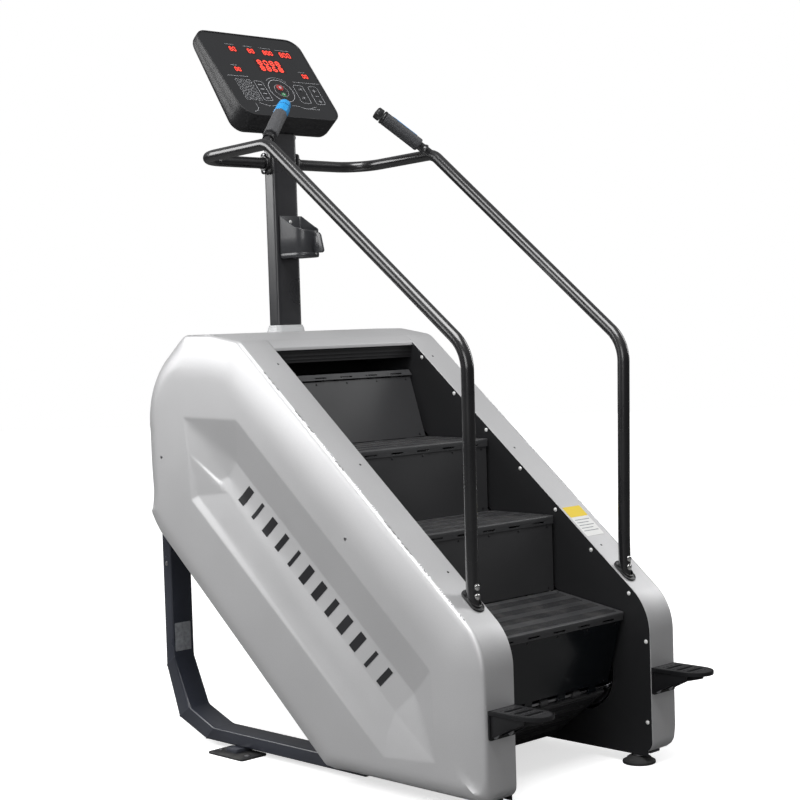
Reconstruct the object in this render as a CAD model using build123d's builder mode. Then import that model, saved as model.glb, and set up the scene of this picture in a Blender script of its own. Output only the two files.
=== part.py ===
from build123d import *
import os
from math import acos, asin, atan2, cos, hypot, pi, sin, sqrt, tan

# Stair climber: eight hinged steps carried round a loop by two chains, in a casing with
# handrail, mast and console.  Millimetres, +Z up, the user faces +Y, +X is the user's right.
# Origin: floor level, centre of the footprint.
#
# Sizes below use section coordinates (y, z): y = forward from the rear face of the side
# shells, z = up from the lower edge of the side shells.  x is the same in both frames.

os.makedirs("parts", exist_ok=True)

REAR_Y = -576.27         # true Y of the shells' rear face
SHELL_FLOOR = 35.0       # height of the shells' lower edge above the floor
SIDES = ((-1, "left"), (1, "right"))

# stairs
RISE = 203.0             # riser pin spacing
RUN = 235.4              # tread pin spacing
PITCH = hypot(RISE, RUN)
INCLINE = atan2(RISE, RUN)
TREAD_HALF = 257.8       # half width of a tread
RISER_HALF = 253.0       # half width of a riser
PIN_R = 4.0
NOSE_PIN_HALF = 250.0    # half length of a nosing pin
KNUCKLE_R = 7.0
KNUCKLE_W = 30.0
TREAD_KNUCKLES = (-127.0, 0.0, 127.0)
RISER_KNUCKLES = (-190.0, -65.0, 65.0, 190.0)
LIP_OUT = 9.0            # nosing lip beyond its pin
TREAD_TOP = 11.0         # walking surface above its pin
PIN_2 = (321.0, 394.8)   # pin at the foot of riser 2
FIT = 0.05               # radial running clearance
PRESS_FIT = 0.02         # radial clearance of parts fixed on a shaft
LOOSE_BORE, LOOSE_KNUCKLE = 6.4, 8.2   # pivots round the pins carried by the sprockets

# chains and shafts
TEETH = 23
CHAIN_PITCH = 25.4
SPROCKET_R = CHAIN_PITCH / 2 / sin(pi / TEETH)      # pitch radius
PATH_LOW = 198.0         # lower sprocket's tangent point to pin 2
PATH_UP = 131.0          # pin 4 to the upper sprocket's tangent point
CHAIN_X = 277.0
ROLLER_X, ROLLER_R, ROLLER_W = 264.0, 7.5, 9.0
SHAFT_R = 15.0
SHAFT_END = 330.0

# brake
BRAKE = (1205.0, 690.0)
PULLEY_X = -344.0
PULLEY_R, BRAKE_PULLEY_R = 140.0, 25.0

# casing
PANEL_IN, PANEL_T = 265.8, 2.5         # inner face of the stair panels, thickness
SHELL_IN, SHELL_OUT, SHELL_T = 268.6, 388.0, 5.0
SHELL_EDGE_R = 13.0
COWL_HALF, COWL_T = 265.2, 3.0
FLANK_LOW, FLANK_TOP = (75.0, 446.0), (843.0, 1087.0)   # points on the sloping flank
FLANK_SLOPE = (FLANK_TOP[1] - FLANK_LOW[1]) / (FLANK_TOP[0] - FLANK_LOW[0])

# frame
FRAME_IN, FRAME_OUT = 288.0, 328.0
TUBE, WALL = 40.0, 3.5
BEARING_R = 19.5
HEAD_Z = 1023.0          # centre of the head tubes
FRONT_POST_Y = 1244.4
LEG_IN, LEG_OUT = 250.0, 325.0
LEG_FRONT, LEG_DEPTH = 1303.0, 38.6
LEG_TOP = 640.0
FOOT_X, FOOT_Y = 284.0, 60.0
SPINDLE_R = 8.0

# rails and mast
RAIL_R = 16.0
RAIL_X, RAIL_Y, RAIL_LOW = 294.3, 100.0, 302.0      # handrail foot
BAR = (1099.0, 1616.0)                              # crossbar at the mast
MAST_W, MAST_D, MAST_R = 91.6, 46.0, 10.0
MAST_Y = 1098.5
GRIP_BAR_R = 13.0

# console
CONSOLE_LOW = (1024.1, 1742.6)         # lower edge of the face
CONSOLE_TOP = (1237.2, 2009.6)         # upper edge of the face
HALF_LOW, HALF_TOP = 186.6, 197.7
DEPTH_LOW, DEPTH_TOP = 84.0, 36.0      # thickness at the lower and upper edges


# ------------------------------ placing helpers ----------------------------
def place(x, y, z):
    """True position of a point given in section coordinates."""
    return (x, REAR_Y + y, SHELL_FLOOR + z)


def side_plane(x, y=0.0, z=0.0, tilt=0.0):
    """Section plane at x: local x forward (turned by tilt), local y up, extrudes to +X."""
    return Plane(origin=place(x, y, z), x_dir=(0, cos(tilt), sin(tilt)), z_dir=(1, 0, 0))


def level_plane(z, x=0.0, y=0.0):
    return Plane(origin=place(x, y, z), x_dir=(1, 0, 0), z_dir=(0, 0, 1))


def rear_plane(y, x=0.0, z=0.0):
    """Plane square to Y: local x = +X, local y = up, extrudes rearward."""
    return Plane(origin=place(x, y, z), x_dir=(1, 0, 0), z_dir=(0, -1, 0))


def left_face(sign, inner, outer):
    """Left-hand x of a piece lying inner to outer from the centre, on the side of sign."""
    return inner if sign > 0 else -outer


def shift(point, along, inward=0.0):
    """Move a section point up the stair run, and square to it into the loop."""
    return (point[0] + along * cos(INCLINE) + inward * sin(INCLINE),
            point[1] + along * sin(INCLINE) - inward * cos(INCLINE))


def draw_rounded(stations, closed=False):
    """Draw lines with rounded corners through (coordinates..., corner radius)."""
    points = [Vector(*station[:-1]) for station in stations]
    count = len(points)
    arcs = []
    for i in range(count) if closed else range(1, count - 1):
        corner, radius = points[i], stations[i][-1]
        to_last = (points[i - 1] - corner).normalized()
        to_next = (points[(i + 1) % count] - corner).normalized()
        half = acos(to_last.dot(to_next)) / 2
        reach = radius / tan(half)
        to_centre = (to_last + to_next).normalized()
        arcs.append((corner + to_last * reach,
                     corner + to_centre * (radius / sin(half) - radius),
                     corner + to_next * reach))
    here = arcs[-1][2] if closed else points[0]
    for start, middle, end in arcs:
        Line(here, start)
        ThreePointArc(start, middle, end)
        here = end
    if not closed:
        Line(here, points[-1])


def draw_u(half, flat_y, bend_y, tip_y):
    """Draw a closed U: flat edge at flat_y, straight sides, arc from bend_y to tip_y."""
    Polyline((-half, flat_y), (-half, bend_y))
    ThreePointArc((-half, bend_y), (0, tip_y), (half, bend_y))
    Polyline((half, bend_y), (half, flat_y), (-half, flat_y))


def turned(stacks):
    """Discs along X: (section point, ((left x, radius, width), ...)) for each stack."""
    with BuildPart() as group:
        for spot, discs in stacks:
            for left, radius, width in discs:
                with BuildSketch(side_plane(left, *spot)):
                    Circle(radius)
                extrude(amount=width)
    return group


def save(builder, name):
    builder.part.label = name
    export_step(builder.part, "parts/" + name + ".step")


# ------------------------------ stair geometry -----------------------------
LOW_TANGENT = shift(PIN_2, -PATH_LOW)
LOW_SHAFT = shift(LOW_TANGENT, 0, SPROCKET_R)
SPAN = PATH_LOW + 2 * PITCH + PATH_UP
UP_SHAFT = shift(LOW_SHAFT, SPAN)
LOOP_MIDDLE = shift(LOW_SHAFT, SPAN / 2)
HALF_TURN = pi * SPROCKET_R


def chain_point(travel):
    """Point on the chain path: 0 at the lower tangent point, rising along the run."""
    travel = travel % (2 * SPAN + 2 * HALF_TURN)
    if travel <= SPAN:
        return shift(LOW_TANGENT, travel)
    travel -= SPAN
    if travel <= HALF_TURN:
        turn = travel / SPROCKET_R
        return shift(UP_SHAFT, SPROCKET_R * sin(turn), -SPROCKET_R * cos(turn))
    travel -= HALF_TURN
    if travel <= SPAN:
        return shift(UP_SHAFT, -travel, SPROCKET_R)
    turn = (travel - SPAN) / SPROCKET_R
    return shift(LOW_SHAFT, -SPROCKET_R * sin(turn), SPROCKET_R * cos(turn))


def nosing_point(foot, far):
    """Nosing pin outside the loop, RISE from riser foot pin and RUN from the next pin."""
    gap_y, gap_z = far[0] - foot[0], far[1] - foot[1]
    gap = hypot(gap_y, gap_z)
    along = (RISE ** 2 - RUN ** 2 + gap * gap) / (2 * gap)
    out = sqrt(RISE ** 2 - along * along)
    gap_y, gap_z = gap_y / gap, gap_z / gap
    return (foot[0] + along * gap_y - out * gap_z, foot[1] + along * gap_z + out * gap_y)


# riser k runs PIN[k] to NOSE[k], tread k runs NOSE[k] to PIN[k + 1]; 9 is pin 1 again
PIN = {k: chain_point(PATH_LOW + (k - 2) * PITCH) for k in range(1, 9)}
PIN[9] = PIN[1]
NOSE = {k: nosing_point(PIN[k], PIN[k + 1]) for k in range(1, 9)}


# ------------------------------ steps --------------------------------------
def make_tread(k):
    """Tread: top plate, nosing lip, far flange, end plates, ribs and knuckles."""
    nosing, far = NOSE[k], PIN[k + 1]
    tilt = atan2(far[1] - nosing[1], far[0] - nosing[0])
    loose = k in (4, 8)      # the far pin is carried by a sprocket
    edge = RUN - (14.0 if loose else 8.5)
    shoulder = TREAD_TOP - 2
    lip_z = -11

    def at(x):
        return side_plane(x, *nosing, tilt)

    with BuildPart() as tread:
        # top plate with the lip turned down at the nosing
        with BuildSketch(at(-TREAD_HALF)):
            with BuildLine():
                Polyline((-LIP_OUT, lip_z), (-LIP_OUT, shoulder), (-LIP_OUT + 2, TREAD_TOP),
                         (edge, TREAD_TOP), (edge, TREAD_TOP - 3),
                         (-LIP_OUT + 1.6, TREAD_TOP - 3), (-LIP_OUT + 1.6, lip_z), close=True)
            make_face()
        extrude(amount=2 * TREAD_HALF)
        # flange along the far edge
        with BuildSketch(at(-TREAD_HALF)):
            with Locations((edge - 1.5, (TREAD_TOP - 8) / 2)):
                Rectangle(3, TREAD_TOP + 8)
        extrude(amount=2 * TREAD_HALF)
        # end plates
        for x in (-TREAD_HALF, TREAD_HALF - 2):
            with BuildSketch(at(x)):
                with BuildLine():
                    Polyline((-LIP_OUT, shoulder), (-LIP_OUT, lip_z), (20, -14), (190, -14),
                             (edge, -3), (edge, shoulder), close=True)
                make_face()
            extrude(amount=2)
        # ribs under the plate
        for x in (-215.0, -30.0, 30.0, 215.0):
            with BuildSketch(at(x - 1.5)):
                with BuildLine():
                    Polyline((16, shoulder), (22, -8), (190, -8), (edge - 1, 0),
                             (edge - 1, shoulder), close=True)
                make_face()
            extrude(amount=3)
        # knuckles at the nosing and at the far pin
        for x in TREAD_KNUCKLES:
            with BuildSketch(at(x - KNUCKLE_W / 2)):
                Circle(KNUCKLE_R)
                with Locations((0, shoulder / 2)):
                    Rectangle(2 * KNUCKLE_R, shoulder)
                with Locations((RUN, 0)):
                    Circle(LOOSE_KNUCKLE if loose else KNUCKLE_R)
                with Locations((RUN - 10, 0)):
                    Rectangle(16, 8)
            extrude(amount=KNUCKLE_W)
        for x in TREAD_KNUCKLES:
            with BuildSketch(at(x - KNUCKLE_W / 2 - 1)):
                Circle(PIN_R + FIT)
                with Locations((RUN, 0)):
                    Circle(LOOSE_BORE if loose else PIN_R + FIT)
            extrude(amount=KNUCKLE_W + 2, mode=Mode.SUBTRACT)
        # slots in the nosing lip
        slot_origin = at(0).from_local_coords(Vector(-LIP_OUT - 1, -4.5, 0))
        with BuildSketch(Plane(origin=slot_origin, x_dir=(1, 0, 0),
                               z_dir=(0, cos(tilt), sin(tilt)))):
            with Locations(*[(98 * i, 0) for i in range(-2, 3)]):
                SlotOverall(46, 4)
        extrude(amount=3, mode=Mode.SUBTRACT)
    return tread


def make_riser(k):
    """Riser plate hinged at its foot (pin k) and at the nosing."""
    foot, nosing = PIN[k], NOSE[k]
    tilt = atan2(nosing[1] - foot[1], nosing[0] - foot[0])
    loose = k in (1, 5)      # the foot pin is carried by a sprocket
    low, high = (14.0 if loose else 9.0), RISE - 9

    def at(x):
        return side_plane(x, *foot, tilt)

    with BuildPart() as riser:
        with BuildSketch(at(-RISER_HALF)):
            with Locations(((high + low) / 2, 5.5)):
                Rectangle(high - low, 3)
        extrude(amount=2 * RISER_HALF)
        for x in RISER_KNUCKLES:
            with BuildSketch(at(x - KNUCKLE_W / 2)):
                Circle(LOOSE_KNUCKLE if loose else KNUCKLE_R)
                with Locations((RISE, 0)):
                    Circle(KNUCKLE_R)
                with Locations((8, 5), (RISE - 8, 5)):
                    Rectangle(16, 4)
            extrude(amount=KNUCKLE_W)
        # stiffening folds on the inner side of the plate
        with BuildSketch(at(-RISER_HALF)):
            with Locations((20, 0.5), (RISE - 24, 0.5)):
                Rectangle(2.5, 8)
        extrude(amount=2 * RISER_HALF)
        for x in RISER_KNUCKLES:
            with BuildSketch(at(x - KNUCKLE_W / 2 - 1)):
                Circle(LOOSE_BORE if loose else PIN_R + FIT)
                with Locations((RISE, 0)):
                    Circle(PIN_R + FIT)
            extrude(amount=KNUCKLE_W + 2, mode=Mode.SUBTRACT)
    return riser


def tread_with_pin(k):
    """Tread with its own nosing pin as a second solid."""
    tread = make_tread(k)
    with BuildPart() as group:
        add(tread.part)
        with BuildSketch(side_plane(-NOSE_PIN_HALF, *NOSE[k])):
            Circle(PIN_R)
        extrude(amount=2 * NOSE_PIN_HALF)
    return group


def gather(maker, keys):
    solids = []
    for k in keys:
        solids += list(maker(k).part.solids())
    with BuildPart() as group:
        for solid in solids:
            add(solid)
    return group


for k in (1, 2, 3, 4, 5, 8):
    save(make_tread(k) if k in (2, 3) else tread_with_pin(k), "tread_%d" % k)
    save(make_riser(k), "riser_%d" % k)
save(gather(make_tread, (6, 7)), "return_treads")
save(gather(make_riser, (6, 7)), "return_risers")

# hinge pins as (left x, radius, width); chain pins carry a guide roller at each end
CHAIN_PIN_HALF = CHAIN_X - 7
NOSE_PIN = ((-NOSE_PIN_HALF, PIN_R, 2 * NOSE_PIN_HALF),)
CHAIN_PIN = ((-CHAIN_PIN_HALF, PIN_R, 2 * CHAIN_PIN_HALF),
             (-ROLLER_X - ROLLER_W / 2, ROLLER_R, ROLLER_W),
             (ROLLER_X - ROLLER_W / 2, ROLLER_R, ROLLER_W))
for k, name in ((2, "step_pins_lift"), (6, "step_pins_return")):
    save(turned([(PIN[k], CHAIN_PIN), (NOSE[k], NOSE_PIN), (PIN[k + 1], CHAIN_PIN),
                 (NOSE[k + 1], NOSE_PIN), (PIN[k + 2], CHAIN_PIN)]), name)


# ------------------------------ drive line ---------------------------------
for centre, left, name in ((LOW_SHAFT, -SHAFT_END, "lower_shaft"),
                           (UP_SHAFT, PULLEY_X - 13, "upper_shaft")):
    with BuildPart() as shaft:
        with BuildSketch(side_plane(left, *centre)):
            Circle(SHAFT_R)
        extrude(amount=SHAFT_END - left)
        chamfer(shaft.edges().filter_by(GeomType.CIRCLE), 1.0)
    save(shaft, name)


def make_sprockets(centre, pin):
    """Pair of chain sprockets with hubs, and the step pin they carry."""
    root_r, tooth_length, tooth_width = 81.5, 10.6, 6.5
    with BuildPart() as pair:
        for sign, _ in SIDES:
            with BuildSketch(side_plane(sign * CHAIN_X - 4, *centre)):
                Circle(root_r)
                with PolarLocations(81, TEETH):
                    Rectangle(tooth_length, tooth_width)
                Circle(SHAFT_R + PRESS_FIT, mode=Mode.SUBTRACT)
                with PolarLocations(52, 6):
                    Circle(13, mode=Mode.SUBTRACT)
            extrude(amount=8)
            # hub on the inner side
            with BuildSketch(side_plane(left_face(sign, CHAIN_X - 14, CHAIN_X - 4), *centre)):
                Circle(28)
                Circle(SHAFT_R + PRESS_FIT, mode=Mode.SUBTRACT)
            extrude(amount=10)
        for left, radius, width in CHAIN_PIN:
            with BuildSketch(side_plane(left, *pin)):
                Circle(radius)
            extrude(amount=width)
    return pair


save(make_sprockets(LOW_SHAFT, PIN[1]), "lower_sprockets")
save(make_sprockets(UP_SHAFT, PIN[5]), "upper_sprockets")

# plain bands standing for the chains
CHAIN_HALF = 6.0         # half height and half width of the band
with BuildPart() as step_chains:
    for x in (-CHAIN_X, CHAIN_X):
        with BuildSketch(side_plane(x - CHAIN_HALF, *LOOP_MIDDLE, INCLINE)):
            SlotCenterToCenter(SPAN, 2 * (SPROCKET_R + CHAIN_HALF))
            SlotCenterToCenter(SPAN, 2 * (SPROCKET_R - CHAIN_HALF), mode=Mode.SUBTRACT)
        extrude(amount=2 * CHAIN_HALF)
save(step_chains, "step_chains")

# chain guides: upper pair under the lifting run, lower pair over the return run
ROLLER_GAP, SPINE_GAP = 7.8, 20.2      # guide edge to chain line, and to the spine's centre
GUIDE_H = SPROCKET_R - SPINE_GAP - ROLLER_GAP
with BuildPart() as chain_guides:
    for x in (-ROLLER_X, ROLLER_X):
        with BuildSketch(side_plane(x - 4, *LOW_TANGENT, INCLINE)):
            for guide_top in (ROLLER_GAP, SPROCKET_R + SPINE_GAP):
                with Locations((SPAN / 2, -guide_top - GUIDE_H / 2)):
                    Rectangle(SPAN - 130, GUIDE_H)
        extrude(amount=8)
save(chain_guides, "chain_guides")

BEARING_IN, BEARING_OUT = FRAME_IN + 2, FRAME_OUT - 2
with BuildPart() as shaft_bearings:
    for centre in (LOW_SHAFT, UP_SHAFT):
        for sign, _ in SIDES:
            with BuildSketch(side_plane(left_face(sign, BEARING_IN, BEARING_OUT), *centre)):
                Circle(BEARING_R)
                Circle(SHAFT_R + FIT, mode=Mode.SUBTRACT)
            extrude(amount=BEARING_OUT - BEARING_IN)
save(shaft_bearings, "shaft_bearings")

with BuildPart() as drive_pulley:
    with BuildSketch(side_plane(PULLEY_X - 10, *UP_SHAFT)):
        Circle(PULLEY_R)
        Circle(SHAFT_R + PRESS_FIT, mode=Mode.SUBTRACT)
        with PolarLocations(85, 6):
            Circle(27, mode=Mode.SUBTRACT)
    extrude(amount=20)
    with BuildSketch(side_plane(PULLEY_X + 10, *UP_SHAFT)):
        Circle(30)
        Circle(SHAFT_R + PRESS_FIT, mode=Mode.SUBTRACT)
    extrude(amount=6)
save(drive_pulley, "drive_pulley")

# brake rotor: small pulley, spindle and drum as (left x, radius, width)
SPINDLE = 10.0
save(turned([(BRAKE, ((PULLEY_X - 12, BRAKE_PULLEY_R, 24), (PULLEY_X + 12, SPINDLE, 210),
                      (-252, 52, 100)))]), "brake_rotor")

HOUSING_X, HOUSING_W = -262.0, 120.0
with BuildPart() as brake_housing:
    with BuildSketch(side_plane(HOUSING_X, *BRAKE)):
        Circle(68)
    extrude(amount=HOUSING_W)
    # mounting foot reaching up to the front crossmember
    with BuildSketch(side_plane(HOUSING_X + 12)):
        with BuildLine():
            Polyline((1225, 780), (1225, 735), (1264, 700), (1264, 780), close=True)
        make_face()
    extrude(amount=HOUSING_W - 24)
    # drum chamber and spindle bore
    with BuildSketch(side_plane(HOUSING_X + 6, *BRAKE)):
        Circle(54)
    extrude(amount=HOUSING_W - 12, mode=Mode.SUBTRACT)
    with BuildSketch(side_plane(HOUSING_X - 1, *BRAKE)):
        Circle(SPINDLE + FIT)
    extrude(amount=HOUSING_W + 30, mode=Mode.SUBTRACT)
save(brake_housing, "brake_housing")


def draw_belt(gap):
    """Draw the outline of an open belt standing gap off both pulleys."""
    big, small = PULLEY_R + gap, BRAKE_PULLEY_R + gap
    span_y, span_z = BRAKE[0] - UP_SHAFT[0], BRAKE[1] - UP_SHAFT[1]
    along = atan2(span_z, span_y)
    wrap = asin((big - small) / hypot(span_y, span_z))
    upper, lower = along + pi / 2 - wrap, along - pi / 2 + wrap

    def rim(centre, radius, angle):
        return (centre[0] + radius * cos(angle), centre[1] + radius * sin(angle))

    Line(rim(UP_SHAFT, big, upper), rim(BRAKE, small, upper))
    ThreePointArc(*[rim(BRAKE, small, angle) for angle in (upper, along, lower)])
    Line(rim(BRAKE, small, lower), rim(UP_SHAFT, big, lower))
    ThreePointArc(*[rim(UP_SHAFT, big, angle) for angle in (lower, along + pi, upper)])


BELT_GAP, BELT_T, BELT_W = 0.3, 4.0, 16.0
with BuildPart() as brake_belt:
    with BuildSketch(side_plane(PULLEY_X - BELT_W / 2)):
        with BuildLine():
            draw_belt(BELT_GAP + BELT_T)
        make_face()
        with BuildLine():
            draw_belt(BELT_GAP)
        make_face(mode=Mode.SUBTRACT)
    extrude(amount=BELT_W)
save(brake_belt, "brake_belt")

# ------------------------------ main frame ---------------------------------
# level and upright members: centre y, centre z, length along y, height
MEMBERS = (
    (246.5, 13.0, 443.0, TUBE),               # floor tube
    (50.0, 166.0, TUBE, 346.0),               # rear post
    (1038.0, HEAD_Z, 396.0, TUBE),            # head tube
    (FRONT_POST_Y, 812.5, TUBE, 395.0),       # front post
    (360.0, 150.0, TUBE, 300.0),              # lower strut
    (90.0, 322.0, 120.0, TUBE),               # rail bracket
)
# inclined members from the lower tangent point: centre up the run, offset, length, depth
INCLINED = (
    (SPAN / 2 + 20, 118.0, SPAN + 40, TUBE),              # stringer above the chains
    (SPAN / 2 + 70, -SPROCKET_R, SPAN + 240, TUBE + 12),  # spine with the bearings
)
INCLINED_WEB = (420.0, 12.0, TUBE, 190.0)     # joins the stringer to the spine
# crossmembers outside the loop: centre y, centre z, length along y, height
CROSSMEMBERS = ((458.0, 6.5, 20.0, 27.0), (1100.0, HEAD_Z, 60.0, TUBE),
                (FRONT_POST_Y, 930.0, TUBE, TUBE), (FRONT_POST_Y, 800.0, TUBE, TUBE))
LOOP_CROSSMEMBERS = (300.0, 700.0)            # inside the loop, distance up the run

with BuildPart() as main_frame:
    for sign, _ in SIDES:
        left = left_face(sign, FRAME_IN, FRAME_OUT)
        with BuildSketch(side_plane(left)):
            for y, z, length, height in MEMBERS:
                with Locations((y, z)):
                    Rectangle(length, height)
        extrude(amount=TUBE)
        with BuildSketch(side_plane(left, *LOW_TANGENT, INCLINE)):
            for x, y, length, depth in INCLINED + (INCLINED_WEB,):
                with Locations((x, y)):
                    Rectangle(length, depth)
        extrude(amount=TUBE)
        # hollow out as channels open to the outside
        cut_left = left_face(sign, FRAME_IN + WALL, FRAME_OUT + 1)
        with BuildSketch(side_plane(cut_left)):
            for y, z, length, height in MEMBERS:
                with Locations((y, z)):
                    Rectangle(length - 2 * WALL, height - 2 * WALL)
        extrude(amount=TUBE - WALL + 1, mode=Mode.SUBTRACT)
        with BuildSketch(side_plane(cut_left, *LOW_TANGENT, INCLINE)):
            for x, y, length, depth in INCLINED:
                with Locations((x, y)):
                    Rectangle(length - 2 * WALL, depth - 2 * WALL)
        extrude(amount=TUBE - WALL + 1, mode=Mode.SUBTRACT)
        # bearing seats
        for centre in (LOW_SHAFT, UP_SHAFT):
            with BuildSketch(side_plane(left, *centre)):
                Circle(30)
            extrude(amount=TUBE)
        # sockets for the levelling foot and for the handrail
        with BuildSketch(level_plane(-7, sign * 288.0, FOOT_Y)):
            Rectangle(36, 28)
        extrude(amount=60)
        with BuildSketch(level_plane(280, sign * 298.0, RAIL_Y)):
            Rectangle(44, 56)
        extrude(amount=75)
    # crossmembers: solid bar, then hollowed right through
    for y, z, length, height in CROSSMEMBERS:
        with BuildSketch(side_plane(-FRAME_IN - 1, y, z)):
            Rectangle(length, height)
        extrude(amount=2 * FRAME_IN + 2)
        with BuildSketch(side_plane(-FRAME_IN - 5, y, z)):
            Rectangle(length - 2 * WALL, height - 2 * WALL)
        extrude(amount=2 * FRAME_IN + 10, mode=Mode.SUBTRACT)
    for along in LOOP_CROSSMEMBERS:
        with BuildSketch(side_plane(-FRAME_IN - 1, *LOW_TANGENT, INCLINE)):
            with Locations((along, -SPROCKET_R)):
                Rectangle(TUBE, TUBE)
        extrude(amount=2 * FRAME_IN + 2)
        with BuildSketch(side_plane(-FRAME_IN - 5, *LOW_TANGENT, INCLINE)):
            with Locations((along, -SPROCKET_R)):
                Rectangle(TUBE - 2 * WALL, TUBE - 2 * WALL)
        extrude(amount=2 * FRAME_IN + 10, mode=Mode.SUBTRACT)
    # bores: bearings, foot spindles, handrail sockets
    for centre in (LOW_SHAFT, UP_SHAFT):
        with BuildSketch(side_plane(-FRAME_OUT - 1, *centre)):
            Circle(BEARING_R + FIT)
        extrude(amount=2 * FRAME_OUT + 2, mode=Mode.SUBTRACT)
    for sign, _ in SIDES:
        with BuildSketch(level_plane(-8, sign * FOOT_X, FOOT_Y)):
            Circle(SPINDLE_R + 0.06)
        extrude(amount=62, mode=Mode.SUBTRACT)
        with BuildSketch(level_plane(300, sign * RAIL_X, RAIL_Y)):
            Circle(RAIL_R + 0.3)
        extrude(amount=420, mode=Mode.SUBTRACT)
save(main_frame, "main_frame")

# front legs: one bent rectangular tube each side, with a floor plate; (y, z) outlines
LEG_REAR = LEG_FRONT - LEG_DEPTH
LEG_OUTLINE = (
    (LEG_REAR, LEG_TOP), (LEG_REAR, 200), (1200, 62), (1090, 20), (471, 20),
    (471, -18), (1130, -18), (1252, 28), (LEG_FRONT, 170), (LEG_FRONT, LEG_TOP))
LEG_BORE = (
    (LEG_REAR + WALL, LEG_TOP + 5), (LEG_REAR + WALL, 199.2), (1202.6, 59.2),
    (1090.7, 16.5), (465, 16.5), (465, -14.5), (1129.4, -14.5), (1249.3, 30.7),
    (LEG_FRONT - WALL, 170.6), (LEG_FRONT - WALL, LEG_TOP + 5))
for sign, hand in SIDES:
    left = left_face(sign, LEG_IN, LEG_OUT)
    with BuildPart() as leg:
        with BuildSketch(side_plane(left)):
            with BuildLine():
                Polyline(*LEG_OUTLINE, close=True)
            make_face()
        extrude(amount=LEG_OUT - LEG_IN)
        with BuildSketch(side_plane(left + WALL)):
            with BuildLine():
                Polyline(*LEG_BORE, close=True)
            make_face()
        extrude(amount=LEG_OUT - LEG_IN - 2 * WALL, mode=Mode.SUBTRACT)
        # floor plate on a spacer block
        with BuildSketch(level_plane(-28, sign * 316.0, 980.0)):
            Rectangle(78, 46)
        extrude(amount=10)
        with BuildSketch(level_plane(-SHELL_FLOOR, sign * 338.0, 972.0)):
            RectangleRounded(92, 150, 8)
        extrude(amount=7)
    save(leg, hand + "_leg")

# levelling feet: pad, cone, nut and spindle
PAD_R, PAD_H = 44.0, 8.0
for sign, hand in SIDES:
    with BuildPart() as foot:
        with BuildSketch(level_plane(-SHELL_FLOOR, sign * FOOT_X, FOOT_Y)):
            Circle(PAD_R)
        extrude(amount=PAD_H)
        with BuildSketch(level_plane(-SHELL_FLOOR + PAD_H, sign * FOOT_X, FOOT_Y)):
            Circle(PAD_R)
        extrude(amount=13, taper=22)
        with BuildSketch(level_plane(-14, sign * FOOT_X, FOOT_Y)):
            RegularPolygon(13, 6)
        extrude(amount=6.5)
        with BuildSketch(level_plane(-9, sign * FOOT_X, FOOT_Y)):
            Circle(SPINDLE_R)
        extrude(amount=55)
    save(foot, "foot_" + hand)


# ------------------------------ casing -------------------------------------
def flank_z(y):
    """Height of the sloping flank line at y."""
    return FLANK_LOW[1] + (y - FLANK_LOW[0]) * FLANK_SLOPE


def draw_casing():
    """Draw the side section of the casing."""
    # underside and front
    draw_rounded([(30, 0, 0), (556, 0, 60), (1301, 620, 24), (1304, 680, 0)])
    ThreePointArc((1304, 680), (1309.2, 765), (1310, 850))
    ThreePointArc((1310, 850), (1248, 1048), (1100, 1128))
    # head, flank and rear
    draw_rounded([(1100, 1128, 0), (985, 1127, 160), (868, flank_z(868), 40),
                  (0, flank_z(0), 145), (0, 30, 0)])
    ThreePointArc((0, 30), (30 - 30 * cos(pi / 4), 30 - 30 * sin(pi / 4)), (30, 0))


# pressed recess in the outer face of a side shell: y, z, corner radius
RECESS = [(1040, 870, 30), (1030, 690, 30), (322, 112, 30), (165, 282, 30), (868, 866, 40)]
RECESS_DEPTH = 12.0

for sign, hand in SIDES:
    with BuildPart() as shell:
        with BuildSketch(side_plane(left_face(sign, SHELL_IN, SHELL_OUT))):
            with BuildLine():
                draw_casing()
            make_face()
        extrude(amount=SHELL_OUT - SHELL_IN)
        outer_face = shell.faces().sort_by(Axis.X)[-1 if sign > 0 else 0]
        fillet(outer_face.edges(), SHELL_EDGE_R)
        with BuildSketch(side_plane(left_face(sign, SHELL_OUT - RECESS_DEPTH, SHELL_OUT + 1))):
            with BuildLine():
                draw_rounded(RECESS, closed=True)
            make_face()
        extrude(amount=RECESS_DEPTH + 1, mode=Mode.SUBTRACT)
        # hollow inside, open towards the stairs, leaving a wall behind the recess
        with BuildPart(mode=Mode.PRIVATE) as cavity:
            with BuildSketch(side_plane(left_face(sign, SHELL_IN - 1, SHELL_OUT - SHELL_T))):
                with BuildLine():
                    draw_casing()
                make_face()
                offset(amount=-SHELL_T, mode=Mode.REPLACE)
            extrude(amount=SHELL_OUT - SHELL_T - SHELL_IN + 1)
            with BuildSketch(side_plane(left_face(sign, SHELL_OUT - 16, SHELL_OUT))):
                with BuildLine():
                    draw_rounded(RECESS, closed=True)
                make_face()
                offset(amount=5, mode=Mode.REPLACE)
            extrude(amount=16, mode=Mode.SUBTRACT)
        add(cavity.part, mode=Mode.SUBTRACT)
        # clearances: floor tube, leg, handrail
        with BuildSketch(side_plane(left_face(sign, SHELL_IN - 1, FRAME_OUT + 1))):
            with Locations((318, 10)):
                Rectangle(600, 60)
        extrude(amount=FRAME_OUT + 2 - SHELL_IN, mode=Mode.SUBTRACT)
        with BuildSketch(level_plane(560, sign * (LEG_IN + LEG_OUT) / 2, 1300.0)):
            Rectangle(LEG_OUT - LEG_IN + 3, 2 * (1300 - LEG_REAR + 1.5))
        extrude(amount=81.5, mode=Mode.SUBTRACT)
        with BuildSketch(level_plane(380, sign * RAIL_X, RAIL_Y)):
            Circle(RAIL_R + 2.5)
        extrude(amount=140, mode=Mode.SUBTRACT)
    save(shell, hand + "_side_shell")

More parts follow.
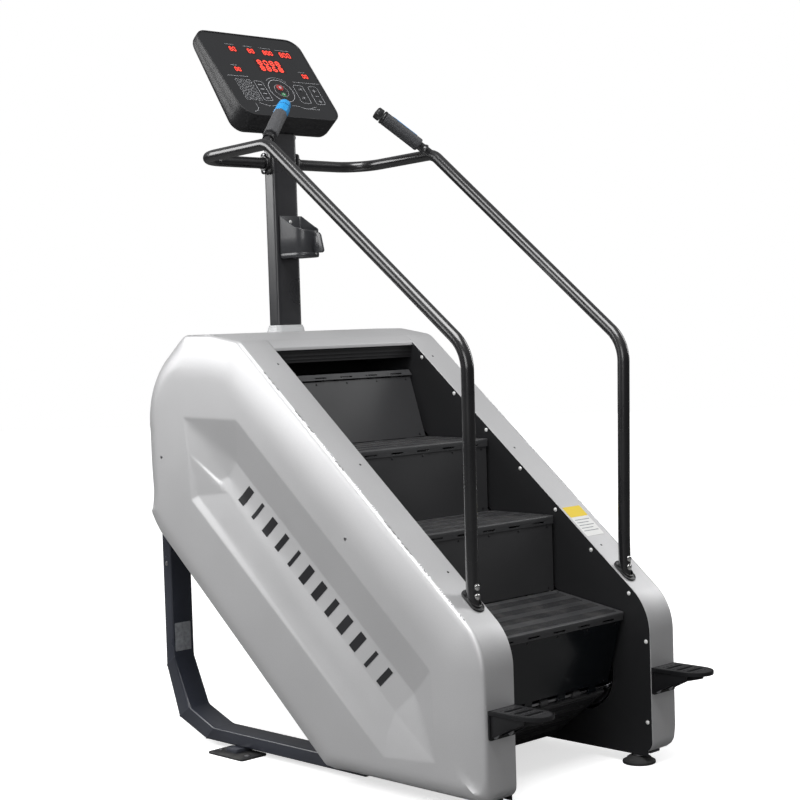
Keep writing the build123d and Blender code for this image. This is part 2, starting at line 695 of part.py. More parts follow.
for sign, hand in SIDES:
    left = left_face(sign, PANEL_IN, PANEL_IN + PANEL_T)
    with BuildPart() as panel:
        with BuildSketch(side_plane(left)):
            with BuildLine():
                draw_casing()
            make_face()
            offset(amount=-1.5, mode=Mode.REPLACE)
            # straight lower skirt below the casing line at the rear
            with Locations((226, 6)):
                Rectangle(420, 30)
            with Locations(BRAKE):
                Circle(14, mode=Mode.SUBTRACT)
        extrude(amount=PANEL_T)
        # opening round the loop for the chain pins
        with BuildSketch(side_plane(left, *LOOP_MIDDLE, INCLINE)):
            SlotCenterToCenter(SPAN, 2 * (SPROCKET_R + 13))
        extrude(amount=PANEL_T, mode=Mode.SUBTRACT)
        # passages for the crossmembers and the leg
        for y, z, length, height in CROSSMEMBERS:
            with BuildSketch(side_plane(left, y, z)):
                Rectangle(length + 2, height + 2)
            extrude(amount=PANEL_T, mode=Mode.SUBTRACT)
        with BuildSketch(side_plane(left)):
            with Locations((1304, 560)):
                Rectangle(82, 162)
            with Locations((780, 5)):
                Rectangle(640, 32)
        extrude(amount=PANEL_T, mode=Mode.SUBTRACT)
    save(panel, hand + "_stair_panel")

# sheet following the whole casing outline; the cowl and the front cover are cut from it
with BuildPart() as casing_sheet:
    with BuildSketch(side_plane(-COWL_HALF)):
        with BuildLine():
            draw_casing()
        make_face()
        with BuildLine():
            draw_casing()
        whole = make_face(mode=Mode.PRIVATE)
        add(offset(whole, amount=-COWL_T, mode=Mode.PRIVATE), mode=Mode.SUBTRACT)
    extrude(amount=2 * COWL_HALF)

COWL_REAR, COWL_EDGE_Z = FLANK_TOP
with BuildPart() as top_cowl:
    add(casing_sheet.part)
    with BuildSketch(side_plane(-COWL_HALF - 1)):
        with BuildLine():
            Polyline((COWL_REAR, 1300), (COWL_REAR, 1000), (1188, 1000), (1188, 1300),
                     close=True)
        make_face()
    extrude(amount=2 * COWL_HALF + 2, mode=Mode.INTERSECT)
    # turned-in lip along the stair opening
    with BuildSketch(side_plane(-COWL_HALF)):
        with BuildLine():
            Polyline((COWL_REAR, COWL_EDGE_Z), (COWL_REAR, COWL_EDGE_Z - 6),
                     (COWL_REAR + 3, COWL_EDGE_Z - 6), (COWL_REAR + 4.5, COWL_EDGE_Z + 1),
                     close=True)
        make_face()
    extrude(amount=2 * COWL_HALF)
    with BuildSketch(level_plane(1100, 0, MAST_Y)):
        RectangleRounded(MAST_W + 2, MAST_D + 2, MAST_R + 1)
    extrude(amount=60, mode=Mode.SUBTRACT)
save(top_cowl, "top_cowl")

with BuildPart() as front_cover:
    add(casing_sheet.part)
    with BuildSketch(side_plane(-COWL_HALF - 1)):
        with BuildLine():
            Polyline((1190, 1300), (1190, 900), (584, 200), (584, -60), (1400, -60),
                     (1400, 1300), close=True)
        make_face()
    extrude(amount=2 * COWL_HALF + 2, mode=Mode.INTERSECT)
    # notches for the legs
    for sign, _ in SIDES:
        with BuildSketch(level_plane(500, sign * 260.0, 1300.0)):
            Rectangle(24, 84)
        extrude(amount=142.5, mode=Mode.SUBTRACT)
save(front_cover, "front_cover")

# two-tier collar: lower z, added width, added depth, corner radius, height
COLLAR_TIERS = ((1128.5, 18, 22, 16, 14), (1142.5, 10, 14, 13, 4))
with BuildPart() as mast_collar:
    for z, more_width, more_depth, radius, height in COLLAR_TIERS:
        with BuildSketch(level_plane(z, 0, MAST_Y)):
            RectangleRounded(MAST_W + more_width, MAST_D + more_depth, radius)
            RectangleRounded(MAST_W + 1, MAST_D + 1, MAST_R + 0.5, mode=Mode.SUBTRACT)
        extrude(amount=height)
save(mast_collar, "mast_collar")

# angle strip under the cowl's rear edge, with three raised lines
with BuildPart() as upper_gap_panel:
    with BuildSketch(side_plane(-264)):
        with BuildLine():
            Polyline((850, 1083.5), (850, 1043), (862, 1043), (862, 1046), (853, 1046),
                     (853, 1083.5), close=True)
        make_face()
        with Locations((849, 1052), (849, 1062), (849, 1072)):
            Rectangle(3, 2.5)
    extrude(amount=528)
save(upper_gap_panel, "upper_gap_panel")

# screws along the stair panels (y, z), and the bolts at the handrail foot
PANEL_SCREWS = ((806, 1041), (680, 937), (559, 835), (435, 731), (311, 623), (190, 522),
                (66, 416), (13.6, 294), (14.6, 81))
SCREW_H = 2.6
with BuildPart() as bright_screws:
    for sign, _ in SIDES:
        for y, z in PANEL_SCREWS:
            with BuildSketch(side_plane(left_face(sign, PANEL_IN - SCREW_H, PANEL_IN), y, z)):
                Circle(4.5)
            extrude(amount=SCREW_H)
        for z in (481.0, 504.0):
            with BuildSketch(rear_plane(RAIL_Y - RAIL_R - 0.02, sign * RAIL_X, z)):
                Circle(6)
            extrude(amount=5)
save(bright_screws, "bright_screws")

# ------------------------------ handrail -----------------------------------
# one side of the rail, foot to crossbar: distance from centre, y, z, bend radius
RAIL_STATIONS = ((RAIL_X, RAIL_Y, RAIL_LOW, 0), (RAIL_X, RAIL_Y, 560, 400),
                 (299.9, 90.0, 1075.8, 105), (314.4, 782.1, 1630.0, 60), (311.6, *BAR, 95))
GRIP_FOOT = (300.0, 797.0, 1641.0)     # grip bar at the rail
GRIP_TIP = (172.4, 869.5, 1753.2)


def rail_side(sign):
    return [place(sign * x, y, z) + (radius,) for x, y, z, radius in RAIL_STATIONS]


def grip_axis(sign):
    """Foot point, tip point and direction of a grip bar."""
    foot_point = Vector(*place(sign * GRIP_FOOT[0], *GRIP_FOOT[1:]))
    tip_point = Vector(*place(sign * GRIP_TIP[0], *GRIP_TIP[1:]))
    return foot_point, tip_point, (tip_point - foot_point).normalized()


GRIP_LENGTH = (Vector(*GRIP_TIP) - Vector(*GRIP_FOOT)).length
GRIP_FLAT_R = 19.0       # octagonal grip, centre to flat
RING_BACK = 30.0         # ring's lower end, back from the tip

with BuildPart() as handrail:
    with BuildLine() as rail_line:
        draw_rounded(rail_side(-1) + rail_side(1)[::-1])
    with BuildSketch(Plane(origin=place(-RAIL_X, RAIL_Y, RAIL_LOW), z_dir=(0, 0, 1))):
        Circle(RAIL_R)
    sweep(path=rail_line.wires()[0])
    # grip bars, rooted inside the rail
    for sign, _ in SIDES:
        grip_foot, grip_tip, direction = grip_axis(sign)
        with BuildSketch(Plane(origin=grip_foot - direction * 16, z_dir=direction)):
            Circle(GRIP_BAR_R)
        extrude(amount=GRIP_LENGTH - 6)
save(handrail, "handrail")

with BuildPart() as hand_grips:
    for sign, _ in SIDES:
        grip_foot, grip_tip, direction = grip_axis(sign)
        with BuildSketch(Plane(origin=grip_foot + direction * 26, z_dir=direction)):
            RegularPolygon(GRIP_FLAT_R, 8, major_radius=False)
            Circle(GRIP_BAR_R + FIT, mode=Mode.SUBTRACT)
        extrude(amount=GRIP_LENGTH - 26 - RING_BACK)
save(hand_grips, "hand_grips")

for sign, hand in SIDES:
    grip_foot, grip_tip, direction = grip_axis(sign)
    with BuildPart() as button:
        with BuildSketch(Plane(origin=grip_tip - direction * 19, z_dir=direction)):
            RegularPolygon(17.5, 8, major_radius=False)
        extrude(amount=19)
        chamfer(button.faces().sort_by(Axis.Z)[-1].edges(), 2.5)
    save(button, "grip_button_" + hand)

with BuildPart() as grip_rings:
    for sign, _ in SIDES:
        grip_foot, grip_tip, direction = grip_axis(sign)
        with BuildSketch(Plane(origin=grip_tip - direction * RING_BACK, z_dir=direction)):
            RegularPolygon(GRIP_FLAT_R, 8, major_radius=False)
            Circle(GRIP_BAR_R + FIT, mode=Mode.SUBTRACT)
        extrude(amount=7.5)
save(grip_rings, "grip_rings")

# slot-shaped plates lying on the flank round the rail feet
FLANK_ANGLE = atan2(FLANK_SLOPE, 1)
FLANK_NORMAL = Vector(0, -sin(FLANK_ANGLE), cos(FLANK_ANGLE))
with BuildPart() as rail_foot_trims:
    for sign, _ in SIDES:
        on_flank = Vector(*place(sign * RAIL_X, RAIL_Y + 1, flank_z(RAIL_Y + 1)))
        with BuildSketch(Plane(origin=on_flank + FLANK_NORMAL * 0.4,
                               x_dir=(0, cos(FLANK_ANGLE), sin(FLANK_ANGLE)),
                               z_dir=FLANK_NORMAL)):
            SlotOverall(84, 46)
        extrude(amount=5)
        with BuildSketch(level_plane(400, sign * RAIL_X, RAIL_Y)):
            Circle(RAIL_R + 1.2)
        extrude(amount=140, mode=Mode.SUBTRACT)
save(rail_foot_trims, "rail_foot_trims")

# ------------------------------ console planes -----------------------------
FACE_H = hypot(CONSOLE_TOP[0] - CONSOLE_LOW[0], CONSOLE_TOP[1] - CONSOLE_LOW[1])
FACE_Y = (CONSOLE_TOP[0] - CONSOLE_LOW[0]) / FACE_H    # unit direction up the face
FACE_Z = (CONSOLE_TOP[1] - CONSOLE_LOW[1]) / FACE_H
BACK_LOW = (CONSOLE_LOW[0] + DEPTH_LOW * FACE_Z, CONSOLE_LOW[1] - DEPTH_LOW * FACE_Y)
BACK_TOP = (CONSOLE_TOP[0] + DEPTH_TOP * FACE_Z, CONSOLE_TOP[1] - DEPTH_TOP * FACE_Y)


def sloping_plane(low, top):
    """Plane through two section points, facing up and towards the user."""
    normal = Vector(0, low[1] - top[1], top[0] - low[0]).normalized()
    return Plane(origin=place(0, *low), x_dir=(1, 0, 0), z_dir=normal)


face_plane = sloping_plane(CONSOLE_LOW, CONSOLE_TOP)
back_plane = sloping_plane(BACK_LOW, BACK_TOP)
FACE_AXIS = Axis((0, 0, 0), (0, -FACE_Z, FACE_Y))

# ------------------------------ mast ---------------------------------------
MAST_FOOT_Z = HEAD_Z + TUBE / 2 + 0.2
BAR_HOLE_R = RAIL_R + 0.2
with BuildPart() as mast:
    with BuildSketch(level_plane(MAST_FOOT_Z, 0, MAST_Y)):
        RectangleRounded(MAST_W, MAST_D, MAST_R)
        RectangleRounded(MAST_W - 6, MAST_D - 6, MAST_R - 3, mode=Mode.SUBTRACT)
    extrude(amount=760)
    with BuildSketch(side_plane(-60, *BAR)):
        Circle(BAR_HOLE_R)
    extrude(amount=120, mode=Mode.SUBTRACT)
    # foot plate
    with BuildSketch(level_plane(MAST_FOOT_Z, 0, MAST_Y)):
        RectangleRounded(130, 58, 6)
    extrude(amount=8)
    # cut to the underside of the console
    with BuildSketch(side_plane(-60)):
        with BuildLine():
            Polyline((1060, 1713.0), (BACK_LOW[0], BACK_LOW[1] - 0.9), (1140, 1773.6),
                     (1140, 2300), (1060, 2300), close=True)
        make_face()
    extrude(amount=120, mode=Mode.SUBTRACT)
save(mast, "mast")

CLAMP_IN = MAST_W / 2 + 0.2
CLAMP_T, CLAMP_BOLT_H = 10.0, 5.0
CLAMP_OUT = CLAMP_IN + CLAMP_T
with BuildPart() as crossbar_clamp:
    for sign, _ in SIDES:
        with BuildSketch(side_plane(left_face(sign, CLAMP_IN, CLAMP_OUT), *BAR)):
            RectangleRounded(44, 62, 10)
            Circle(BAR_HOLE_R, mode=Mode.SUBTRACT)
        extrude(amount=CLAMP_T)
        bolt_left = left_face(sign, CLAMP_OUT, CLAMP_OUT + CLAMP_BOLT_H)
        for rise in (-24, 24):
            with BuildSketch(side_plane(bolt_left, BAR[0], BAR[1] + rise)):
                RegularPolygon(6.5, 6)
            extrude(amount=CLAMP_BOLT_H)
save(crossbar_clamp, "crossbar_clamp")


# ------------------------------ console ------------------------------------
def draw_console(inset=0.0, less_radius=0.0):
    """Draw the face outline, moved in by inset, with its corner radii reduced."""
    low, top, height = HALF_LOW - inset, HALF_TOP - inset, FACE_H - inset
    low_r, top_r = 48 - less_radius, 44 - less_radius
    draw_rounded([(-low, inset, low_r), (low, inset, low_r),
                  (top, height, top_r), (-top, height, top_r)], closed=True)


OVERLAY_TOP = 2.2        # overlay surface below the housing rim
OVERLAY_T = 4.0
with BuildPart() as console_housing:
    with BuildSketch(face_plane):
        with BuildLine():
            draw_console()
        make_face()
    extrude(amount=-DEPTH_LOW - 20)
    split(bisect_by=back_plane, keep=Keep.TOP)
    chamfer(console_housing.faces().sort_by(FACE_AXIS)[0].edges(), 7)
    with BuildPart(mode=Mode.PRIVATE) as hollow:
        with BuildSketch(face_plane):
            with BuildLine():
                draw_console(5, 5)
            make_face()
        extrude(amount=-DEPTH_LOW - 20)
        split(bisect_by=back_plane.offset(8), keep=Keep.TOP)
    add(hollow.part, mode=Mode.SUBTRACT)
    # shelf that carries the overlay
    with BuildSketch(face_plane.offset(-OVERLAY_TOP - OVERLAY_T - 0.2)):
        with BuildLine():
            draw_console(4, 5)
        make_face()
        with BuildLine():
            draw_console(12, 8)
        make_face(mode=Mode.SUBTRACT)
    extrude(amount=-4)
save(console_housing, "console_housing")

# keys on the face: x, distance up the face, radius
KEYS = {"stop_key": (12.0, 124.0, 12.0), "start_key": (12.0, 96.0, 8.0),
        "speed_up_key": (92.0, 124.0, 8.0), "speed_down_key": (84.5, 88.0, 8.0)}
with BuildPart() as console_face:
    with BuildSketch(face_plane.offset(-OVERLAY_TOP - OVERLAY_T)):
        with BuildLine():
            draw_console(5.3, 5)
        make_face()
        for x, y, radius in KEYS.values():
            with Locations((x, y)):
                Circle(radius + 0.3, mode=Mode.SUBTRACT)
    extrude(amount=OVERLAY_T)
save(console_face, "console_face")

for name, (x, y, radius) in KEYS.items():
    with BuildPart() as key:
        with BuildSketch(face_plane.offset(-7.5)):
            with Locations((x, y)):
                Circle(radius)
        extrude(amount=6.8)
        fillet(key.faces().sort_by(FACE_AXIS)[-1].edges(), 0.8)
    save(key, name)

# ------------------------------ bottle holder ------------------------------
CUP_X = 7.0
CUP_LOW, CUP_TOP = 1340.0, 1464.0
CUP_BEND_Y = 1013.0      # where the straight sides meet the round
with BuildPart() as bottle_holder:
    with BuildSketch(level_plane(CUP_LOW, CUP_X)):
        with BuildLine():
            draw_u(half=42, flat_y=1075.3, bend_y=CUP_BEND_Y, tip_y=971)
        make_face()
    extrude(amount=CUP_TOP - CUP_LOW)
    with BuildSketch(level_plane(CUP_LOW + 4, CUP_X)):
        with BuildLine():
            draw_u(half=38.5, flat_y=1071.3, bend_y=CUP_BEND_Y, tip_y=974.5)
        make_face()
    extrude(amount=160, mode=Mode.SUBTRACT)
    # sloping mouth
    with BuildSketch(side_plane(-60)):
        with BuildLine():
            Polyline((1068, 1464.5), (1010, 1430), (965, 1412), (960, 1500), (1068, 1500),
                     close=True)
        make_face()
    extrude(amount=140, mode=Mode.SUBTRACT)
    # tab on the side towards the user
    with BuildSketch(side_plane(6)):
        with BuildLine():
            Polyline((973, 1408), (945, 1410), (930, 1356), (973, 1352), close=True)
        make_face()
    extrude(amount=5)
save(bottle_holder, "bottle_holder")

# ------------------------------ side steps ---------------------------------
STEP_IN, STEP_OUT = 266.5, 362.0
STEP_W = STEP_OUT - STEP_IN
STEP_Y = -0.3            # front face, just clear of the shells
STEP_PLATE_T = 5.0
for sign, hand in SIDES:
    middle = sign * (STEP_IN + STEP_OUT) / 2
    with BuildPart() as side_step:
        # upright mounting plate
        with BuildSketch(rear_plane(STEP_Y, middle)):
            with Locations((0, 191)):
                Rectangle(STEP_W, 72)
        extrude(amount=STEP_PLATE_T)
        # slotted foot plate with a rounded end
        with BuildSketch(level_plane(219, middle)):
            with BuildLine():
                draw_u(half=STEP_W / 2, flat_y=STEP_Y, bend_y=-98, tip_y=-154)
            make_face()
            with Locations((0, -40), (0, -72), (0, -104)):
                SlotOverall(62, 11, mode=Mode.SUBTRACT)
        extrude(amount=8)
        # tapered gussets
        for x in (-42.0, 0.0, 42.0):
            with BuildSketch(side_plane(middle + x - 2)):
                with BuildLine():
                    Polyline((-5, 220), (-112, 220), (-106, 200), (-5, 166), close=True)
                make_face()
            extrude(amount=4)
        # bolt heads
        for x in (-26.0, 26.0):
            with BuildSketch(rear_plane(STEP_Y - STEP_PLATE_T, middle + x, 166)):
                RegularPolygon(7.5, 6)
            extrude(amount=5.5)
    save(side_step, "side_step_" + hand)

# screw heads on the outer faces of the side shells
SHELL_SCREW_H = 1.6
with BuildPart() as shell_screws:
    for sign, _ in SIDES:
        left = left_face(sign, SHELL_OUT, SHELL_OUT + SHELL_SCREW_H)
        for y, z in ((1205, 786), (240, 30)):
            with BuildSketch(side_plane(left, y, z)):
                Circle(5)
            extrude(amount=SHELL_SCREW_H)
save(shell_screws, "shell_screws")
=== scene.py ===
"""A stair climber: silver casing, black moving steps, handrail, mast, console, legs and feet.

Lengths are in mm in section coordinates: x lateral (left is negative), u forward from the
shells' rear face, v up from the shells' lower edge.  row() turns them into the row frame,
in metres, where u runs along +Y and v along +Z.
"""
import bpy, bmesh
import numpy as np
from mathutils import Vector, Matrix
from mathutils.geometry import delaunay_2d_cdt
from math import acos, atan, atan2, cos, hypot, inf, pi, radians, sin, sqrt, tan


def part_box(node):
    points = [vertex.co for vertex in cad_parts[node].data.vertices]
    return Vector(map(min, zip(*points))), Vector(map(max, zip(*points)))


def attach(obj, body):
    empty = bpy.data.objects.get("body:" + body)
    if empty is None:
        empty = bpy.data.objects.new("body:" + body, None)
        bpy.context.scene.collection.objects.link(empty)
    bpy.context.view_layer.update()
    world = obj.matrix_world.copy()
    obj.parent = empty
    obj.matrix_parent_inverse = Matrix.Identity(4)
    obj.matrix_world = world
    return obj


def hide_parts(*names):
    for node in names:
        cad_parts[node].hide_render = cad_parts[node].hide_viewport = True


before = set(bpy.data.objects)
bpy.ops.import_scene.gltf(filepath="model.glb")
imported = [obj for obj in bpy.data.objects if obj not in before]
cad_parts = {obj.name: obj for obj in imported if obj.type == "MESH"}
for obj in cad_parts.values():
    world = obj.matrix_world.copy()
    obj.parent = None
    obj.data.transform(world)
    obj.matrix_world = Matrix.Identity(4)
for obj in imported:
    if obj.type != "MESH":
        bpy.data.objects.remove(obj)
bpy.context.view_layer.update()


SHELL_LOW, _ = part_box("left_side_shell")
SIDES = ((-1, "left"), (1, "right"))


def row(x, u, v):
    """Section coordinates in mm to the row frame; also places a plan (x, u) at height v."""
    return (x / 1000.0, SHELL_LOW.y + u / 1000.0, SHELL_LOW.z + v / 1000.0)


def section(u, v, x):
    return row(x, u, v)


def elevation(x, v, u):
    return row(x, u, v)


def level(outline, v):
    """A plan outline (x, u) laid at height v."""
    return [row(x, u, v) for x, u in outline]


# ------------------------------- materials ---------------------------------
def add_node(tree, kind, inputs=None, **settings):
    """Adds a shader node; each input is either a value or the socket that feeds it."""
    node = tree.nodes.new("ShaderNode" + kind)
    for key, value in settings.items():
        setattr(node, key, value)
    for socket, value in (inputs or {}).items():
        if isinstance(value, bpy.types.NodeSocket):
            tree.links.new(value, node.inputs[socket])
        else:
            node.inputs[socket].default_value = value
    return node


def noise(tree, coords, scale, detail):
    settings = {"Vector": coords, "Scale": scale, "Detail": detail}
    return add_node(tree, "TexNoise", settings).outputs["Fac"]


def map_range(tree, value, source, target):
    """Maps the source range (low, high) onto the target range."""
    return add_node(tree, "MapRange", {
        "Value": value, "From Min": source[0], "From Max": source[1],
        "To Min": target[0], "To Max": target[1]}).outputs[0]


def maths(tree, operation, first, second, **settings):
    node = add_node(tree, "Math", {0: first, 1: second}, operation=operation, **settings)
    return node.outputs[0]


def mix_colour(tree, factor, first, second):
    inputs = {"Factor": factor, "A": first, "B": second}
    return add_node(tree, "Mix", inputs, data_type="RGBA").outputs["Result"]


def start_material(name, colour):
    """Gives a new material, its tree, its surface node and its object coordinates."""
    mat = bpy.data.materials.new(name)
    mat.use_nodes = True
    mat.diffuse_color = tuple(colour) + (1.0,)
    tree = mat.node_tree
    tree.nodes.clear()
    out = add_node(tree, "OutputMaterial")
    bsdf = add_node(tree, "BsdfPrincipled")
    tree.links.new(bsdf.outputs[0], out.inputs[0])
    return mat, tree, bsdf, add_node(tree, "TexCoord").outputs["Object"]


def set_surface(tree, bsdf, coords, patches, rough, rough_var=0.06, bump=0.04,
                bump_scale=500.0, cells=None, metallic=0.0, spec=0.5, coat=0.0,
                coat_rough=0.08, sheen=0.0):
    """Fine grain (with a cell pattern if asked), patchy roughness and the plain values."""
    height = noise(tree, coords, bump_scale, 3.0)
    if cells:
        pattern = add_node(tree, "TexVoronoi", {"Scale": cells, "Vector": coords},
                           feature="DISTANCE_TO_EDGE")
        height = maths(tree, "ADD", height, pattern.outputs["Distance"])
    grain = add_node(tree, "Bump", {"Strength": bump, "Distance": 0.001, "Height": height})
    tree.links.new(grain.outputs[0], bsdf.inputs["Normal"])
    roughness = map_range(tree, patches, (0.3, 0.7), (rough - rough_var, rough + rough_var))
    tree.links.new(roughness, bsdf.inputs["Roughness"])
    bsdf.inputs["Metallic"].default_value = metallic
    bsdf.inputs["Specular IOR Level"].default_value = spec
    bsdf.inputs["Coat Weight"].default_value = coat
    bsdf.inputs["Coat Roughness"].default_value = coat_rough
    bsdf.inputs["Sheen Weight"].default_value = sheen


def material(name, colour, var=0.05, var_scale=6.0, flakes=0.0, streak=None, edge=0.0,
             dust=0.0, emission=None, glow=0.0, **surface):
    """A colour that varies by var, with optional flakes, streaks, pale edges and dust."""
    mat, tree, bsdf, coords = start_material(name, colour)
    patches = noise(tree, coords, var_scale, 4.0)
    tone = map_range(tree, patches, (0.3, 0.7), (1.0 - var, 1.0 + var))
    if flakes:
        cells = add_node(tree, "TexVoronoi", {"Scale": 1600.0, "Vector": coords})
        parts = add_node(tree, "SeparateColor", {0: cells.outputs["Color"]})
        fleck = map_range(tree, parts.outputs[0], (0.0, 1.0), (1.0 - flakes, 1.0 + flakes))
        tone = maths(tree, "MULTIPLY", tone, fleck)
    if streak:
        stretched = add_node(tree, "Mapping", {"Scale": streak, "Vector": coords})
        lines = noise(tree, stretched.outputs[0], 1.0, 3.0)
        tone = maths(tree, "MULTIPLY", tone, map_range(tree, lines, (0.0, 1.0), (0.8, 1.2)))
    toned = add_node(tree, "VectorMath", {0: colour, "Scale": tone}, operation="SCALE")
    base = toned.outputs[0]
    if edge or dust:
        geometry = add_node(tree, "NewGeometry")
    if edge:
        # paler towards convex edges, driven by pointiness
        edge_paling = map_range(tree, geometry.outputs["Pointiness"], (0.52, 0.62), (0.0, edge))
        base = mix_colour(tree, edge_paling, base, tuple(c * 2.0 + 0.12 for c in colour) + (1.0,))
    if dust:
        normal = add_node(tree, "SeparateXYZ", {0: geometry.outputs["Normal"]})
        specks = map_range(tree, noise(tree, coords, 22.0, 7.0), (0.45, 0.8), (0.0, dust))
        settled = maths(tree, "MULTIPLY", normal.outputs[2], specks, use_clamp=True)
        base = mix_colour(tree, settled, base, (0.3, 0.29, 0.27, 1.0))
    tree.links.new(base, bsdf.inputs["Base Color"])
    set_surface(tree, bsdf, coords, patches, **surface)
    if emission:
        bsdf.inputs["Emission Color"].default_value = tuple(emission) + (1.0,)
        bsdf.inputs["Emission Strength"].default_value = glow
    return mat


SILVER = material("silver_satin", colour=(0.56, 0.56, 0.567), rough=0.5, metallic=0.62,
                  coat=0.08, coat_rough=0.3, bump=0.05, bump_scale=260, var=0.018,
                  var_scale=3.0, rough_var=0.03, flakes=0.04)
STEP = material("step_powder_black", colour=(0.021, 0.0215, 0.0235), rough=0.42, bump=0.22,
                bump_scale=900, var=0.16, var_scale=9.0, rough_var=0.09, edge=0.25,
                dust=0.10, spec=0.45)
RISER = material("riser_powder_black", colour=(0.0135, 0.0138, 0.0155), rough=0.36, bump=0.14,
                 bump_scale=800, var=0.14, var_scale=5.0, rough_var=0.08, edge=0.25)
STRIP = material("anti_slip_strip", colour=(0.016, 0.016, 0.018), rough=0.7, bump=0.9,
                 bump_scale=1500, var=0.3, var_scale=60.0, rough_var=0.1, dust=0.2)
PANEL = material("panel_satin_black", colour=(0.0062, 0.0063, 0.0075), rough=0.42, bump=0.12,
                 bump_scale=900, var=0.12, rough_var=0.07, edge=0.15, spec=0.25)
GLOSS = material("tube_gloss_black", colour=(0.0105, 0.0105, 0.0115), rough=0.28, coat=0.5,
                 coat_rough=0.14, bump=0.03, bump_scale=300, var=0.08, rough_var=0.04,
                 spec=0.55)
MAST = material("mast_satin_black", colour=(0.022, 0.022, 0.0245), rough=0.3, coat=0.3,
                coat_rough=0.25, bump=0.06, bump_scale=600, var=0.08)
NAVY = material("leg_navy_black", colour=(0.022, 0.025, 0.036), rough=0.33, coat=0.35,
                coat_rough=0.2, bump=0.1, bump_scale=700, var=0.1, rough_var=0.08, edge=0.4)
FRAME = material("frame_dark_grey", colour=(0.03, 0.031, 0.033), rough=0.5, bump=0.2,
                 bump_scale=700, var=0.15, rough_var=0.1, edge=0.2)
STEEL = material("machined_steel", colour=(0.42, 0.42, 0.43), rough=0.32, metallic=1.0,
                 bump=0.12, bump_scale=900, var=0.1, rough_var=0.1, streak=(400, 20, 20))
CAST = material("cast_alloy", colour=(0.48, 0.485, 0.49), rough=0.45, metallic=0.9, bump=0.5,
                bump_scale=500, var=0.1, rough_var=0.1)
ZINC = material("bright_zinc", colour=(0.78, 0.78, 0.77), rough=0.16, metallic=1.0,
                bump_scale=700, var=0.06)
GREY_SCREW = material("screw_grey", colour=(0.3, 0.3, 0.31), rough=0.35, metallic=0.9,
                      bump=0.05, bump_scale=700, var=0.1, rough_var=0.08)
DARK_SCREW = material("screw_black", colour=(0.03, 0.03, 0.032), rough=0.35, metallic=0.6,
                      bump=0.05, bump_scale=700, var=0.1, rough_var=0.08)
BELT = material("belt_rubber", colour=(0.018, 0.018, 0.018), rough=0.75, bump=0.6,
                bump_scale=1200, var=0.2)
RUBBER = material("foot_rubber", colour=(0.02, 0.02, 0.021), rough=0.7, bump=0.5,
                  bump_scale=900, var=0.25, rough_var=0.1, dust=0.25)
GRIP = material("grip_rubber", colour=(0.036, 0.037, 0.041), rough=0.55, bump=0.7,
                bump_scale=1300, cells=900.0, var=0.12, rough_var=0.08, sheen=0.1)
BLUE = material("blue_moulded", colour=(0.010, 0.25, 0.58), rough=0.28, coat=0.4, bump=0.05,
                bump_scale=600, var=0.06, rough_var=0.05)
TRIM = material("trim_moulded_black", colour=(0.013, 0.013, 0.014), rough=0.33, coat=0.15,
                bump=0.12, bump_scale=800, var=0.1, rough_var=0.08)
CUP = material("holder_moulded", colour=(0.028, 0.029, 0.032), rough=0.34, coat=0.2, bump=0.1,
               bump_scale=900, var=0.1, rough_var=0.08)
COLLAR = material("collar_moulded_grey", colour=(0.42, 0.425, 0.43), rough=0.45, bump=0.12,
                  bump_scale=800)
CONSOLE = material("console_moulded", colour=(0.012, 0.0122, 0.0135), rough=0.42, bump=0.28,
                   bump_scale=1100, cells=1300.0, var=0.1, rough_var=0.07, spec=0.4)
FILM = material("console_film", colour=(0.0085, 0.009, 0.0105), rough=0.3, coat=0.15,
                coat_rough=0.25, bump=0.05, bump_scale=1400, var=0.1, rough_var=0.05)
INK = material("print_grey", colour=(0.34, 0.345, 0.36), rough=0.5, bump=0.05, bump_scale=800,
               var=0.1)
KEY_GREY, KEY_RED, KEY_GREEN = [
    material(name, colour=colour, rough=0.35, coat=0.2, bump=0.08, bump_scale=1200, var=0.1)
    for name, colour in (("key_dome", (0.03, 0.031, 0.034)), ("key_stop", (0.3, 0.02, 0.02)),
                         ("key_start", (0.02, 0.16, 0.05)))]
LED_WINDOW = material("led_window", colour=(0.02, 0.004, 0.004), rough=0.2, bump=0.02,
                      bump_scale=600, var=0.1)
LED = material("led_red", colour=(0.5, 0.02, 0.015), rough=0.4, bump=0.05, bump_scale=900,
               var=0.15, var_scale=300, emission=(1.0, 0.07, 0.04), glow=1.6)
BAR = material("bar_decal_black", colour=(0.012, 0.012, 0.014), rough=0.38, bump=0.05,
               var=0.06)
YELLOW = material("sticker_yellow", colour=(0.75, 0.55, 0.03), rough=0.45, bump_scale=600)
PALE_SCREW = material("screw_head_pale", colour=(0.86, 0.86, 0.85), rough=0.34, metallic=0.15,
                      coat=0.2, bump=0.03, bump_scale=600, var=0.03)
WHITE = material("sticker_white", colour=(0.72, 0.72, 0.71), rough=0.45, bump_scale=600)
GREY_PLATE = material("sticker_grey", colour=(0.30, 0.31, 0.33), rough=0.45, bump=0.3,
                      bump_scale=260, var=0.25, var_scale=90, metallic=0.3)
NYLON = material("guide_nylon", colour=(0.62, 0.61, 0.57), rough=0.55, bump=0.15,
                 bump_scale=700, var=0.08)
# Darker copy of the riser black, given to the lowest riser alone: painted shade.
SHADED_RISER = material("riser_gloss_painted_shade", colour=(0.005, 0.0065, 0.0085), rough=0.2, coat=0.12,
                    coat_rough=0.06, spec=0.3, bump=0.03, bump_scale=200, var=0.15,
                    rough_var=0.05)


# ------------------------------ flat outlines ------------------------------
def unit(vector):
    return vector / np.linalg.norm(vector)


def turn(count):
    """Angles of one full turn, without the repeated end."""
    return np.linspace(0, 2 * pi, count, endpoint=False)


def arc(x, y, r, start, end, count):
    return [(x + r * cos(t), y + r * sin(t)) for t in np.linspace(start, end, count)]


def circle(x, y, r, count=20):
    return [(x + r * cos(t), y + r * sin(t)) for t in turn(count)]


